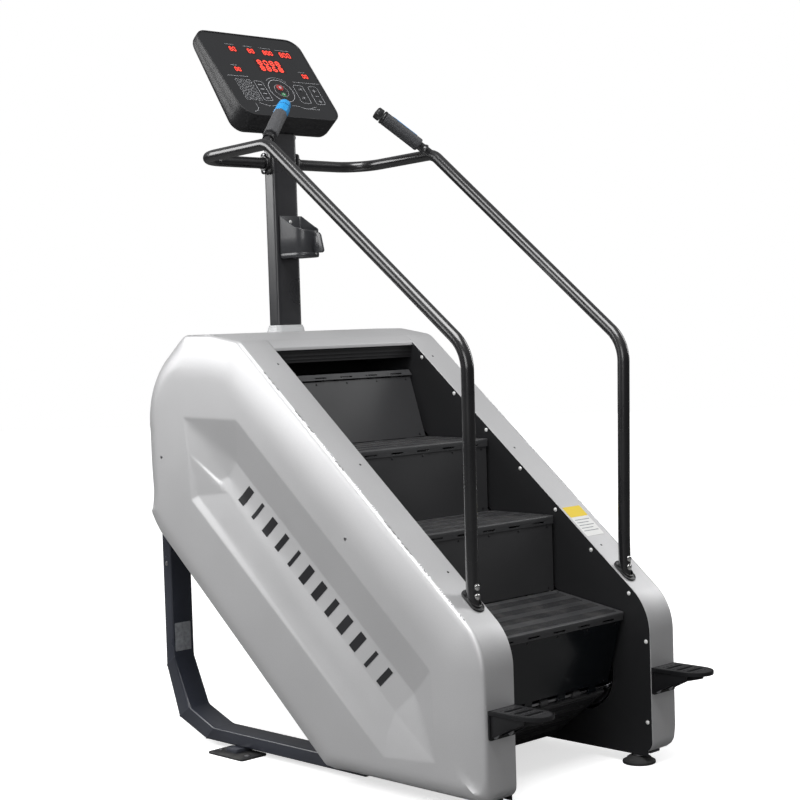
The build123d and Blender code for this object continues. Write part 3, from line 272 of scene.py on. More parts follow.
def rect(x0, x1, y0, y1):
    return [(x0, y0), (x1, y0), (x1, y1), (x0, y1)]


def slot_shape(x, y, length, width, count=6):
    """Slot along x with half-round ends of count points each."""
    r = width / 2
    ends = (arc(length / 2 - r, 0, r, -pi / 2, pi / 2, count)
            + arc(-length / 2 + r, 0, r, pi / 2, 3 * pi / 2, count))
    return [(x + a, y + b) for a, b in ends]


def round_rect(width, depth, r, count=7, x=0.0, y=0.0):
    """Rectangle centred on (x, y) with count points round each corner."""
    out = []
    for sx, sy, start in ((1, 1, 0), (-1, 1, pi / 2), (-1, -1, pi), (1, -1, 3 * pi / 2)):
        out += arc(x + sx * (width / 2 - r), y + sy * (depth / 2 - r), r,
                   start, start + pi / 2, count)
    return out


def fillet(before, corner, after, radius, step=inf, least=8):
    """Points round one corner, in pieces no longer than step and at least `least` of them."""
    to_before, to_after = unit(before - corner), unit(after - corner)
    half = acos(float(to_before @ to_after)) / 2
    reach = radius / tan(half)
    centre = corner + unit(to_before + to_after) * (radius / sin(half))
    start = corner + to_before * reach - centre
    end = corner + to_after * reach - centre
    sweep = pi - 2 * half
    pieces = max(least, int(radius * sweep / step) + 1)
    return [centre + (start * sin((1 - f) * sweep) + end * sin(f * sweep)) / sin(sweep)
            for f in np.linspace(0, 1, pieces + 1)]


def rounded(stations, step=6.0, least=4):
    """Open line through stations of (coordinates..., corner radius), in 2D or 3D."""
    points = [np.array(s[:-1], float) for s in stations]
    line = [points[0]]
    for i in range(1, len(points) - 1):
        line += fillet(*points[i - 1:i + 2], stations[i][-1], step, least)
    line.append(points[-1])
    result = [line[0]]
    for point in line[1:]:
        if np.linalg.norm(point - result[-1]) > 1e-3:
            result.append(point)
    return result


def densify(points, step, closed=False):
    """Adds points so that no piece is longer than step."""
    out = []
    n = len(points)
    for i in range(n if closed else n - 1):
        start, end = np.array(points[i], float), np.array(points[(i + 1) % n], float)
        pieces = max(1, int(np.ceil(np.linalg.norm(end - start) / step)))
        out += [start + (end - start) * j / pieces for j in range(pieces)]
    if not closed:
        out.append(np.array(points[-1], float))
    return out


def arc_through(start, middle, end, pieces):
    """Counter-clockwise arc through three points."""
    (ax, ay), (bx, by), (cx, cy) = start, middle, end
    d = 2 * (ax * (by - cy) + bx * (cy - ay) + cx * (ay - by))
    sa, sb, sc = ax * ax + ay * ay, bx * bx + by * by, cx * cx + cy * cy
    x = (sa * (by - cy) + sb * (cy - ay) + sc * (ay - by)) / d
    y = (sa * (cx - bx) + sb * (ax - cx) + sc * (bx - ax)) / d
    first, last = atan2(ay - y, ax - x), atan2(cy - y, cx - x)
    while last < first:
        last += 2 * pi
    return [np.array(p) for p in arc(x, y, hypot(ax - x, ay - y), first, last, pieces + 1)]


def inside(point, outline):
    x, y = point[0], point[1]
    result = False
    j = len(outline) - 1
    for i in range(len(outline)):
        xi, yi = outline[i]
        xj, yj = outline[j]
        if (yi > y) != (yj > y) and x < (xj - xi) * (y - yi) / (yj - yi) + xi:
            result = not result
        j = i
    return result


def right_of(tangents):
    """Unit normals on the right-hand side of each tangent."""
    t = tangents / np.linalg.norm(tangents, axis=1)[:, None]
    return np.stack([t[:, 1], -t[:, 0]], 1)


def loop_normals(loop):
    """Right-hand normals of a closed loop: outward if it runs counter-clockwise."""
    return right_of(np.roll(loop, -1, 0) - np.roll(loop, 1, 0))


def cut_outline(outline, holes):
    """Triangulates an outline with holes; gives points, triangles and border edges."""
    points, edges = [], []
    for loop in (outline, *holes):
        start, n = len(points), len(loop)
        points += [Vector(p) for p in loop]
        edges += [(start + i, start + (i + 1) % n) for i in range(n)]
    points, _, faces = delaunay_2d_cdt(points, edges, [], 0, 1e-6)[:3]
    kept = []
    for face in faces:
        middle = sum((points[i] for i in face), Vector((0, 0))) / len(face)
        if inside(middle, outline) and not any(inside(middle, hole) for hole in holes):
            kept.append(list(face))
    directed = [(face[i], face[(i + 1) % 3]) for face in kept for i in range(3)]
    known = set(directed)
    return points, kept, [(i, j) for i, j in directed if (j, i) not in known]


# ------------------------------ mesh parts ---------------------------------
def is_sharp(edge, degrees):
    return len(edge.link_faces) == 2 and edge.calc_face_angle(0.0) > radians(degrees)


def mesh_object(bm, name, mats, smooth=38.0):
    """Turns bm into an object, smooth except at edges sharper than `smooth` degrees."""
    bm.normal_update()
    for edge in bm.edges:
        if is_sharp(edge, smooth):
            edge.smooth = False
    for face in bm.faces:
        face.smooth = True
    mesh = bpy.data.meshes.new(name)
    bm.to_mesh(mesh)
    bm.free()
    for mat in mats:
        mesh.materials.append(mat)
    obj = bpy.data.objects.new(name, mesh)
    bpy.context.scene.collection.objects.link(obj)
    return obj


def register(obj, body, replaces, slot):
    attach(obj, body)
    if replaces:
        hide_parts(*replaces)


def ring_about(centre, x, y, r, count):
    """Circle of radius r mm about a row-frame centre, in the plane of unit vectors x, y."""
    return [centre + (x * cos(t) + y * sin(t)) * (r / 1000) for t in turn(count)]


class Part:
    """Collects pieces in one mesh.  Bevels, radii and heights are in mm."""

    def __init__(self, name):
        self.name = name
        self.bm = bmesh.new()
        self.mats = []

    def add(self, verts, faces, mat, bevel=0.0, seg=2):
        piece = bmesh.new()
        made = [piece.verts.new(v) for v in verts]
        for face in faces:
            piece.faces.new([made[i] for i in face])
        bmesh.ops.remove_doubles(piece, verts=piece.verts, dist=2e-6)
        bmesh.ops.recalc_face_normals(piece, faces=piece.faces)
        piece.normal_update()
        if bevel:
            sharp = [e for e in piece.edges if is_sharp(e, 32.0)]
            bmesh.ops.bevel(piece, geom=sharp, offset=bevel / 1000.0, segments=seg,
                            profile=0.5, affect="EDGES", clamp_overlap=True)
        if mat not in self.mats:
            self.mats.append(mat)
        for face in piece.faces:
            face.material_index = self.mats.index(mat)
        carrier = bpy.data.meshes.new("piece")
        piece.to_mesh(carrier)
        piece.free()
        self.bm.from_mesh(carrier)
        bpy.data.meshes.remove(carrier)

    def prism(self, outline, place, h0, h1, mat, bevel=0.0, seg=2, holes=()):
        """Closed prism between heights h0 and h1; place(a, b, h) gives row coordinates."""
        if holes:
            points, caps, border = cut_outline(outline, holes)
        else:
            points, caps = outline, [list(range(len(outline)))]
            border = [(i, (i + 1) % len(outline)) for i in range(len(outline))]
        n = len(points)
        verts = [place(a, b, h) for h in (h0, h1) for a, b in points]
        faces = [cap[::-1] for cap in caps] + [[i + n for i in cap] for cap in caps]
        faces += [[i, j, n + j, n + i] for i, j in border]
        self.add(verts, faces, mat, bevel, seg)

    def loft(self, rings, mat, cap=True):
        n = len(rings[0])
        faces = []
        for k in range(len(rings) - 1):
            for i in range(n):
                j = (i + 1) % n
                faces.append([k * n + i, k * n + j, (k + 1) * n + j, (k + 1) * n + i])
        if cap:
            faces.append(list(range(n))[::-1])
            faces.append([(len(rings) - 1) * n + i for i in range(n)])
        self.add([p for ring in rings for p in ring], faces, mat)

    def band(self, rings, mat):
        """Loft whose last ring joins the first, leaving the middle open."""
        self.loft(rings + [rings[0]], mat, cap=False)

    def turned(self, x, u, profile, mat, seg):
        """Upright turned piece from stations of (radius, height v)."""
        self.loft([level(circle(x, u, r, seg), v) for r, v in profile], mat)

    def cylinder(self, start, axis, r, h, mat, seg=24, bevel=0.5, dome=0.0):
        """Cylinder from a row-frame point, its far end bevelled and domed."""
        start, axis = Vector(start), Vector(axis).normalized()
        x = axis.orthogonal().normalized()
        y = axis.cross(x)
        top = r - bevel
        profile = [(0.0, r), (h - bevel, r), (h - bevel * 0.3, r - bevel * 0.3), (h, top)]
        if dome:
            profile += [(h + dome * (1 - (k / 4) ** 2), top * (k / 4)) for k in (3, 2, 1)]
        self.loft([[p + axis * (height / 1000) for p in ring_about(start, x, y, radius, seg)]
                   for height, radius in profile], mat)

    def stud(self, start, towards, *args, **kwargs):
        """Cylinder whose axis points from start to another row-frame point."""
        self.cylinder(start, Vector(towards) - Vector(start), *args, **kwargs)

    def tube(self, path, r, mat, seg=28):
        """Round tube along row-frame points, without twist."""
        points = [Vector(p) for p in path]
        last = len(points) - 1
        tangents = [(points[min(i + 1, last)] - points[max(i - 1, 0)]).normalized()
                    for i in range(last + 1)]
        side = tangents[0].orthogonal().normalized()
        rings = []
        for i, point in enumerate(points):
            if i:
                hinge = tangents[i - 1].cross(tangents[i])
                if hinge.length > 1e-9:
                    angle = tangents[i - 1].angle(tangents[i])
                    side = Matrix.Rotation(angle, 3, hinge.normalized()) @ side
            rings.append(ring_about(point, side, tangents[i].cross(side), r, seg))
        self.loft(rings, mat)

    def done(self, body, replaces=(), slot=None, smooth=38.0):
        register(mesh_object(self.bm, self.name, self.mats, smooth), body, replaces, slot)


# ------------------------------- casing ------------------------------------
# The sloping flank passes through these two (u, v) points.
FLANK_LOW, FLANK_HIGH = (75.0, 446.0), (843.0, 1087.0)
SLOPE = (FLANK_HIGH[1] - FLANK_LOW[1]) / (FLANK_HIGH[0] - FLANK_LOW[0])
FLANK_ANGLE = atan(SLOPE)
SHELL_X = 387.4                 # greatest half width
OPENING_X = 265.2               # half width of the sheets between the shells
REAR_R = 30.0                   # rounding of the lower rear corner


def flank_v(u):
    return FLANK_LOW[1] + (u - FLANK_LOW[0]) * SLOPE


def casing_outline():
    """Side outline (u, v), counter-clockwise from the bottom rear."""
    r = REAR_R
    out = rounded([(r, 0, 0), (556, 0, 60), (1301, 620, 24), (1304, 680, 0)])
    out += arc_through((1304, 680), (1309.2, 765), (1310, 850), 10)[1:]
    out += arc_through((1310, 850), (1248, 1048), (1100, 1128), 24)[1:]
    out += rounded([(1100, 1128, 0), (985, 1127, 160),
                    (FLANK_HIGH[0] + 25, FLANK_HIGH[1] + 25 * SLOPE, 40),
                    (0.0, flank_v(0), 145), (0, r, 0)])[1:]
    middle = r - r * cos(pi / 4)
    out += arc_through((0, r), (middle, middle), (r, 0), 8)[1:-1]
    return out


def resample(loop, step):
    points = np.array(loop + [loop[0]])
    lengths = np.linalg.norm(np.diff(points, axis=0), axis=1)
    along = np.concatenate([[0], np.cumsum(lengths)])
    t = np.linspace(0, along[-1], int(along[-1] / step), endpoint=False)
    return np.stack([np.interp(t, along, points[:, 0]), np.interp(t, along, points[:, 1])], 1)


OUTLINE = casing_outline()
RIM = resample(OUTLINE, 7.0)
RIM_NORMALS = loop_normals(RIM)


def nearest_rim(points, chunk=2000):
    """Distance from the rim and the nearest rim point, for each of the points."""
    points = np.asarray(points, float)
    start = RIM
    run = np.roll(RIM, -1, 0) - start
    run_squared = (run ** 2).sum(1)
    best = np.full(len(points), 1e9)
    nearest = np.zeros_like(points)
    for i in range(0, len(points), chunk):
        p = points[i:i + chunk, None, :]
        t = np.clip(((p - start) * run).sum(2) / run_squared, 0, 1)
        on_rim = start + t[..., None] * run
        distance = np.linalg.norm(p - on_rim, axis=2)
        closest = distance.argmin(1)
        rows = np.arange(len(closest))
        best[i:i + chunk] = distance[rows, closest]
        nearest[i:i + chunk] = on_rim[rows, closest]
    return best, nearest


def smooth_step(start, end, x):
    t = np.clip((x - start) / (end - start), 0, 1)
    return t * t * (3 - 2 * t)


def quarter_round(t):
    return np.sqrt(np.maximum(0, 1 - (1 - np.clip(t, 0, 1)) ** 2))


def ease_out(t):
    return 1 - (1 - np.clip(t, 0, 1)) ** 2


def casing_half_width(d, rim):
    """Half width at distance d inside the rim points."""
    u, v = rim[:, 0], rim[:, 1]

    def swell(edge, lip, lip_run, run):
        """A rounded lip at the edge, then a slow swell to the full width."""
        return (edge + lip * quarter_round(d / lip_run)
                + (SHELL_X - (edge + lip)) * ease_out(d / run))

    upper = swell(362.0, 8.5, 12, 118)
    under = swell(366.0, 9, 9, 55)
    front = 300.0 + (SHELL_X - 300.0) * quarter_round(d / 88)
    bottom = 345.0 + (SHELL_X - 345.0) * quarter_round(d / 44)
    front_share = smooth_step(1085, 1215, u) * smooth_step(560, 700, v)
    bottom_share = smooth_step(60, 12, v) * (u < 560) * smooth_step(620, 480, u)
    on_flank = (v > flank_v(u) - 60) | (u < 40)
    width = np.where((on_flank & (u < 1150)) | (v > 850), upper, under)
    width = width * (1 - front_share) + front * front_share
    return width * (1 - bottom_share) + bottom * bottom_share


# Pressed recess in the side faces: corners (u, v, depth) joined by flat facets.
RECESS = {
    "O1": (1097, 900, 0), "O2": (866, 897, 0), "O3": (160, 306, 0), "Q": (152, 84, 0),
    "O6": (331, 69, 0), "O7": (1074, 672, 0), "A": (896, 781, 21), "B": (930, 740, 20),
    "C": (927, 697, 15), "D": (1050, 684, 6), "E": (238, 238, 21), "F": (303, 184, 17),
    "G": (326, 126, 8), "K1": (1081, 802, 1.5), "K2": (966, 729, 15)}
RECESS_FACETS = [
    ("O1", "O2", "A"), ("O1", "A", "B"), ("O1", "B", "K2"), ("O1", "K2", "K1"),
    ("K1", "K2", "C"), ("K1", "C", "D"), ("K2", "B", "C"), ("K1", "D", "O7"),
    ("O2", "O3", "A"), ("A", "O3", "E"), ("A", "E", "B"), ("B", "E", "F"),
    ("B", "F", "C"), ("C", "F", "G"), ("C", "G", "D"), ("D", "G", "O6"),
    ("D", "O6", "O7"), ("O3", "Q", "E"), ("E", "Q", "F"), ("F", "Q", "G"), ("G", "Q", "O6")]
RECESS_CREASES = [
    ("O1", "O2"), ("O2", "O3"), ("O3", "Q"), ("Q", "O6"), ("O6", "O7"), ("O1", "K1"),
    ("K1", "O7"), ("A", "O2"), ("A", "E"), ("A", "B"), ("B", "C"), ("C", "D"), ("D", "O6"),
    ("E", "F"), ("F", "G"), ("G", "O6"), ("E", "O3"), ("K1", "K2"), ("K2", "B"), ("C", "F"),
    ("D", "O7"), ("F", "Q")]
RECESS_SOFTENING = 4.5          # radius over which the recess edges are averaged


def recess_depth(points):
    depth = np.zeros(len(points))
    for facet in RECESS_FACETS:
        a, b, c = (np.array(RECESS[k][:2], float) for k in facet)
        za, zb, zc = (RECESS[k][2] for k in facet)
        w = np.linalg.solve(np.array([b - a, c - a]).T, (points - a).T)
        within = (w[0] >= -1e-6) & (w[1] >= -1e-6) & (w[0] + w[1] <= 1 + 1e-6)
        depth[within] = za + w[0][within] * (zb - za) + w[1][within] * (zc - za)
    return depth


def soft_recess(points):
    """Recess depth averaged over a small disc, so the pressed edges are rounded."""
    points = np.asarray(points, float)
    total = recess_depth(points) * 2
    for k in range(8):
        way = np.array((cos(k * pi / 4), sin(k * pi / 4)))
        total = total + recess_depth(points + way * RECESS_SOFTENING)
        total = total + recess_depth(points + way * RECESS_SOFTENING * 0.5)
    return total / 18.0


def face_x(points):
    """Half width of the finished side face at each (u, v)."""
    return casing_half_width(*nearest_rim(points)) - soft_recess(points)


def side_points(rim):
    """Candidate mesh points: the rim, rings inside it, lines along creases, and a grid."""
    points = list(rim)
    for d in (2.2, 4.6, 7.4, 11, 16, 22, 30, 40, 52, 66, 80):
        every = 1 if d < 30 else 2
        ring = RIM[::every] - RIM_NORMALS[::every] * d
        distance, _ = nearest_rim(ring)
        points += [tuple(p) for p, far in zip(ring, distance > d - 0.25) if far]
    for first, second in RECESS_CREASES:
        start = np.array(RECESS[first][:2], float)
        end = np.array(RECESS[second][:2], float)
        length = np.linalg.norm(end - start)
        t = (end - start) / length
        normal = np.array((-t[1], t[0]))
        for offset in (0.0, -2.2, 2.2, -4.6, 4.6, -8, 8):
            for s in np.linspace(0, length, int(length / 7) + 1):
                points.append(tuple(start + t * s + normal * offset))
    gu, gv = np.meshgrid(np.arange(2, 1310, 14.0), np.arange(2, 1136, 14.0))
    grid = np.stack([gu.ravel(), gv.ravel()], 1)
    distance, _ = nearest_rim(grid)
    points += [tuple(p) for p, d in zip(grid, distance) if d > 84 and inside(p, rim)]
    return np.array([p for i, p in enumerate(points) if i < len(rim) or inside(p, rim)])


def thin_out(points, fixed, spacing=1.7, cell_size=1.8):
    """Drops points closer than spacing to one already kept; the first `fixed` all stay."""
    cells = {}
    kept = []
    for i, p in enumerate(points):
        cu, cv = int(p[0] // cell_size), int(p[1] // cell_size)
        near = [points[j] for du in (-1, 0, 1) for dv in (-1, 0, 1)
                for j in cells.get((cu + du, cv + dv), ())]
        if i < fixed or not any((q[0] - p[0]) ** 2 + (q[1] - p[1]) ** 2 < spacing ** 2
                                for q in near):
            cells.setdefault((cu, cv), []).append(i)
            kept.append(i)
    return points[kept]


def side_surface():
    """One side face: points (u, v), triangles, and the point numbers along the rim."""
    rim = [tuple(p) for p in RIM]
    n = len(rim)
    points = thin_out(side_points(rim), n)
    edges = [(i, (i + 1) % n) for i in range(n)]
    verts, _, faces, origins, *_ = delaunay_2d_cdt([Vector(p) for p in points], edges, [],
                                                   0, 1e-5)
    verts = np.array([(p.x, p.y) for p in verts])
    triangles = [list(f) for f in faces if inside(verts[list(f)].mean(0), rim)]
    number = {k: i for i, origin in enumerate(origins) for k in origin}
    return verts, triangles, [number[k] for k in range(n)]


SIDE_POINTS, SIDE_TRIANGLES, SIDE_RIM = side_surface()
SIDE_X = face_x(SIDE_POINTS)


def add_shell(side, name):
    bm = bmesh.new()
    face_verts = [bm.verts.new(row(side * x, u, v)) for (u, v), x in zip(SIDE_POINTS, SIDE_X)]
    for triangle in SIDE_TRIANGLES:
        bm.faces.new([face_verts[i] for i in triangle])
    # the strip from the rim in to the stair opening, turned inwards at its edge
    rim_x = SIDE_X[SIDE_RIM]
    strips = [(rim_x - 1.2, 0.0), (rim_x - 0.5 * (rim_x - 268.0), 0.0)]
    strips += [(np.full_like(rim_x, x), inset) for x, inset in (
        (268.0, 0.0), (266.6, 0.25), (266.0, 1.4), (266.0, 15.0), (268.6, 15.0))]
    rings = [[face_verts[i] for i in SIDE_RIM]]
    for xs, inset in strips:
        rings.append([bm.verts.new(row(side * x, p[0] - n[0] * inset, p[1] - n[1] * inset))
                      for x, p, n in zip(xs, RIM, RIM_NORMALS)])
    # past the first row, the bottom run and the leg passage stay open
    for r, (outer, inner) in enumerate(zip(rings, rings[1:])):
        for k, (u, v) in enumerate(RIM):
            in_bottom = v < 2.0 and 30 < u < 600
            in_passage = 560 < v < 668 and 1235 < u < 1310
            if r > 0 and (in_bottom or in_passage):
                continue
            j = (k + 1) % len(RIM)
            bm.faces.new([outer[k], outer[j], inner[j], inner[k]])
    bmesh.ops.recalc_face_normals(bm, faces=bm.faces)
    bm.faces.ensure_lookup_table()
    facing = sum(f.normal.x * f.calc_area() for f in bm.faces[:len(SIDE_TRIANGLES)])
    if facing * side < 0:
        bmesh.ops.reverse_faces(bm, faces=bm.faces)
    obj = mesh_object(bm, "shell_" + name, [SILVER])
    wall = obj.modifiers.new("wall", "SOLIDIFY")
    wall.thickness = 0.0022
    wall.offset = -1.0
    register(obj, "machine", [name + "_side_shell"], "silver_metal")


BAND_TOP, BAND_BOTTOM = np.array((880.0, 711.0)), np.array((316.0, 247.0))
BAR_COUNT, BAR_HEIGHT, BAR_LEAN = 12, 58.0, 9.0


def add_band_bars(side, name):
    """Leaning bars that follow the pressed band on a side face."""
    part = Part("band_bars_" + name)
    length = np.linalg.norm(BAND_BOTTOM - BAND_TOP)
    t = (BAND_BOTTOM - BAND_TOP) / length
    up = np.array((t[1], -t[0]))
    rows = 6
    faces = []
    n = 3 * (rows + 1)
    for r in range(rows):
        for c in range(2):
            quad = [r * 3 + c, r * 3 + c + 1, (r + 1) * 3 + c + 1, (r + 1) * 3 + c]
            faces += [quad[::-1], [i + n for i in quad]]
    border = [0, 1, 2] + [3 * r + 2 for r in range(1, rows + 1)]
    border += [3 * rows + 1, 3 * rows] + [3 * r for r in range(rows - 1, 0, -1)]
    faces += [[i, j, j + n, i + n] for i, j in zip(border, border[1:] + border[:1])]
    for i in range(BAR_COUNT):
        width = 19.0 if i % 4 == 3 else (26.0, 12.0, 26.0)[i % 3]
        centre = BAND_TOP + t * (length * (i + 0.5) / BAR_COUNT)
        verts = []
        for lift in (0.2, 0.8):
            for r in range(rows + 1):
                h = r / rows - 0.5
                for c in range(3):
                    across = width * (c / 2 - 0.5) + BAR_LEAN * h
                    u, v = centre + t * across + up * (BAR_HEIGHT * h)
                    verts.append(row(side * (face_x([(u, v)])[0] + lift), u, v))
        part.add(verts, faces, BAR)
    part.done("machine", slot="panel_black")


SHEET_THICKNESS = 2.6
SHEET_GAP = 0.1                 # the sheets lie this far inside the outline


def sheet_lines(covers):
    """Outer and inner lines of a sheet along the part of the outline that covers() picks."""
    loop = resample(OUTLINE, 5.0)
    n = len(loop)
    chosen = {i for i in range(n) if covers(*loop[i])}
    run = [next(i for i in sorted(chosen) if (i - 1) % n not in chosen)]
    while (run[-1] + 1) % n in chosen:
        run.append((run[-1] + 1) % n)
    points = loop[run]
    normals = right_of(np.gradient(points, axis=0))
    return [[tuple(p - normal * depth) for p, normal in zip(points, normals)]
            for depth in (SHEET_GAP, SHEET_THICKNESS + SHEET_GAP)]


def add_sheet(name, outer, inner, node):
    part = Part(name)
    profile = outer + inner[::-1]
    part.loft([[row(x, u, v) for u, v in profile]
               for x in np.linspace(-OPENING_X, OPENING_X, 25)], SILVER)
    part.done("machine", [node], "silver_metal")


def add_cowl():
    """Top sheet, folded down over the stair opening at its rear edge."""
    outer, inner = sheet_lines(lambda u, v: 844 <= u <= 1187 and v > 900)
    v = outer[-1][1]
    outer += [(843.6, v - 0.8), (843.0, v - 2.6), (843.0, 1078.0)]
    inner += [(846.0, v - 4.6), (845.6, v - 6), (845.6, 1078.0)]
    add_sheet("cowl_top", outer, inner, "top_cowl")


def add_front_cover():
    outer, inner = sheet_lines(lambda u, v: u > 1190 or (u > 586 and v < 700))
    add_sheet("cover_front", outer, inner, "front_cover")


MAST_W, MAST_D, MAST_U = 91.6, 46.0, 1098.5
# collar round the mast: height v, width, depth, corner radius; the last two line the hole
COLLAR_STATIONS = (
    (1120, 111, 70, 22), (1126.5, 110, 69, 21), (1131, 107.5, 66, 20), (1139.5, 104, 63.5, 19),
    (1141.5, 102.5, 61.5, 18), (1142.3, 100, 58.5, 17), (1146.3, 99, 57, 16),
    (1147.3, 97.3, 55, 15), (1147.3, 92.6, 47, 10.5), (1120, 92.6, 47, 10.5))


def add_mast_collar():
    part = Part("mast_collar_ring")
    part.band([level(round_rect(w, d, r, 8, 0, MAST_U), v) for v, w, d, r in COLLAR_STATIONS],
              COLLAR)
    part.done("machine", ["mast_collar"], "collar_grey")


# ------------------------------ steps --------------------------------------
# Eight steps ride a chain loop: up the lifting run, round the upper sprockets, down the
# return run and round the lower ones.  Pin k carries the foot of riser k.
RISE, RUN = 203.0, 235.4
PITCH = hypot(RISE, RUN)
INCLINE = atan2(RISE, RUN)
ALONG = (cos(INCLINE), sin(INCLINE))        # up the lifting run
ACROSS = (sin(INCLINE), -cos(INCLINE))      # from the lifting run to the return run
SPROCKET_R = 25.4 / 2 / sin(pi / 23)        # 25.4 mm chain on 23 teeth
PIN_2 = (321.0, 394.8)
PIN_2_RUN = 198.0                           # distance of pin 2 along the lifting run
SPAN = PIN_2_RUN + 2 * PITCH + 131.0
HALF_TURN = pi * SPROCKET_R


def shifted(point, along, across):
    return tuple(point[i] + along * ALONG[i] + across * ACROSS[i] for i in (0, 1))


LOW_TANGENT = shifted(PIN_2, -PIN_2_RUN, 0)
LOW_CENTRE = shifted(LOW_TANGENT, 0, SPROCKET_R)
HIGH_TANGENT = shifted(LOW_TANGENT, SPAN, 0)
HIGH_CENTRE = shifted(HIGH_TANGENT, 0, SPROCKET_R)


def chain_point(s):
    """The (u, v) point at distance s along the chain loop."""
    s = s % (2 * SPAN + 2 * HALF_TURN)
    if s <= SPAN:
        return shifted(LOW_TANGENT, s, 0)
    s -= SPAN
    if s <= HALF_TURN:
        t = s / SPROCKET_R
        return shifted(HIGH_CENTRE, SPROCKET_R * sin(t), -SPROCKET_R * cos(t))
    s -= HALF_TURN
    if s <= SPAN:
        return shifted(HIGH_CENTRE, -s, SPROCKET_R)
    t = (s - SPAN) / SPROCKET_R
    return shifted(LOW_CENTRE, -SPROCKET_R * sin(t), SPROCKET_R * cos(t))


def nose_point(foot, back):
    """Where a riser from the foot pin meets a tread from the back pin."""
    du, dv = back[0] - foot[0], back[1] - foot[1]
    chord = hypot(du, dv)
    a = (RISE ** 2 - RUN ** 2 + chord * chord) / (2 * chord)
    h = sqrt(RISE ** 2 - a * a)
    eu, ev = du / chord, dv / chord
    return (foot[0] + a * eu - h * ev, foot[1] + a * ev + h * eu)


PINS = {k: chain_point(PIN_2_RUN + (k - 2) * PITCH) for k in range(1, 9)}
PINS[9] = PINS[1]
NOSES = {k: nose_point(PINS[k], PINS[k + 1]) for k in range(1, 9)}
TREAD_X, RISER_X = 257.6, 252.8             # half widths


def plate_frame(start, end):
    """place(a, b, x): a from start towards end, b across it, x lateral."""
    angle = atan2(end[1] - start[1], end[0] - start[0])
    ca, sa = cos(angle), sin(angle)
    return lambda a, b, x: row(x, start[0] + a * ca - b * sa, start[1] + a * sa + b * ca)


def add_eye(part, place, a, outer, bore, x, mat):
    part.prism(circle(a, 0, outer, 24), place, x - 15, x + 15, mat,
               holes=[circle(a, 0, bore, 20)])


def build_tread(part, k):
    place = plate_frame(NOSES[k], PINS[k + 1])
    wide = k in (4, 8)                      # larger eyes on the back pin
    back = RUN - (14.2 if wide else 8.7)
    # folded sheet: rolled nosing, plate, back flange
    profile = [(-9, 3.0), (-9, 7.0)] + arc(-5, 7, 4, pi, pi / 2, 7) + [(back - 2.5, 11)]
    profile += arc(back - 2.5, 8.5, 2.5, pi / 2, 0, 5)
    profile += [(back, -7.5), (back - 2, -7.5), (back - 2, 8.4), (back - 2.6, 9.0),
                (-4.8, 9.0), (-6.2, 8.4), (-7, 7.0), (-7, 3.0)]
    part.prism(profile, place, -TREAD_X, TREAD_X, STEP)
    # slotted lip below the nosing
    part.prism(rect(-TREAD_X, TREAD_X, -11, 3.0), lambda x, b, a: place(a, b, x), -9.0, -7.0,
               STEP, holes=[slot_shape(x, -4.2, 46, 4.6) for x in (-196, -98, 0, 98, 196)])
    # end plates, with their lower corners cut back
    end_plate = [(-9, -11), (-9, 8), (-7, 10.8), (back - 1, 10.8), (back, 9.5), (back, -3),
                 (190, -13.8), (20, -13.8)]
    for s in (-1, 1):
        part.prism(end_plate, place, s * TREAD_X, s * (TREAD_X - 2.2), STEP, bevel=0.5)
    # ribs under the plate
    rib = [(16, 9.2), (22, -8), (190, -8), (back - 1.5, 0), (back - 1.5, 9.2)]
    for x in (-215.0, -30.0, 30.0, 215.0):
        part.prism(rib, place, x - 1.5, x + 1.5, STEP)
    # hinge eyes and the blocks that join them to the plate
    reach = RUN - 5.2 - (2 if wide else 0)
    for x in (-127.0, 0.0, 127.0):
        add_eye(part, place, 0, 7.0, 4.06, x, STEP)
        add_eye(part, place, RUN, 8.2 if wide else 7.0, 6.4 if wide else 4.05, x, STEP)
        part.prism(rect(back - 2, reach, -3.5, 3.5), place, x - 14.5, x + 14.5, STEP,
                   bevel=0.4)
        part.prism(rect(-6.5, 6.5, 4.5, 9.2), place, x - 14.5, x + 14.5, STEP)
    # anti-slip strips with low ribs running across the step
    for start, end, ribs in ((2.0, 34.0, 9), (62.0, 92.0, 8), (118.0, 148.0, 8),
                             (174.0, 204.0, 8)):
        profile = [(start, 10.9), (start + 0.6, 11.7)]
        width = (end - start - 1.2) / ribs
        for i in range(ribs):
            a = start + 0.6 + i * width
            profile += [(a + width * 0.18, 11.7), (a + width * 0.3, 12.3),
                        (a + width * 0.7, 12.3), (a + width * 0.82, 11.7)]
        profile += [(end - 0.6, 11.7), (end, 10.9)]
        part.prism(profile, place, -240, 240, STRIP)
    # rivets near the ends of the plate
    for x in (-246, 246):
        for a in (16.0, 210.0):
            part.stud(place(a, 11.0, x), place(a, 12.0, x), 3.4, 0.9, DARK_SCREW, seg=14,
                      bevel=0.3, dome=0.5)


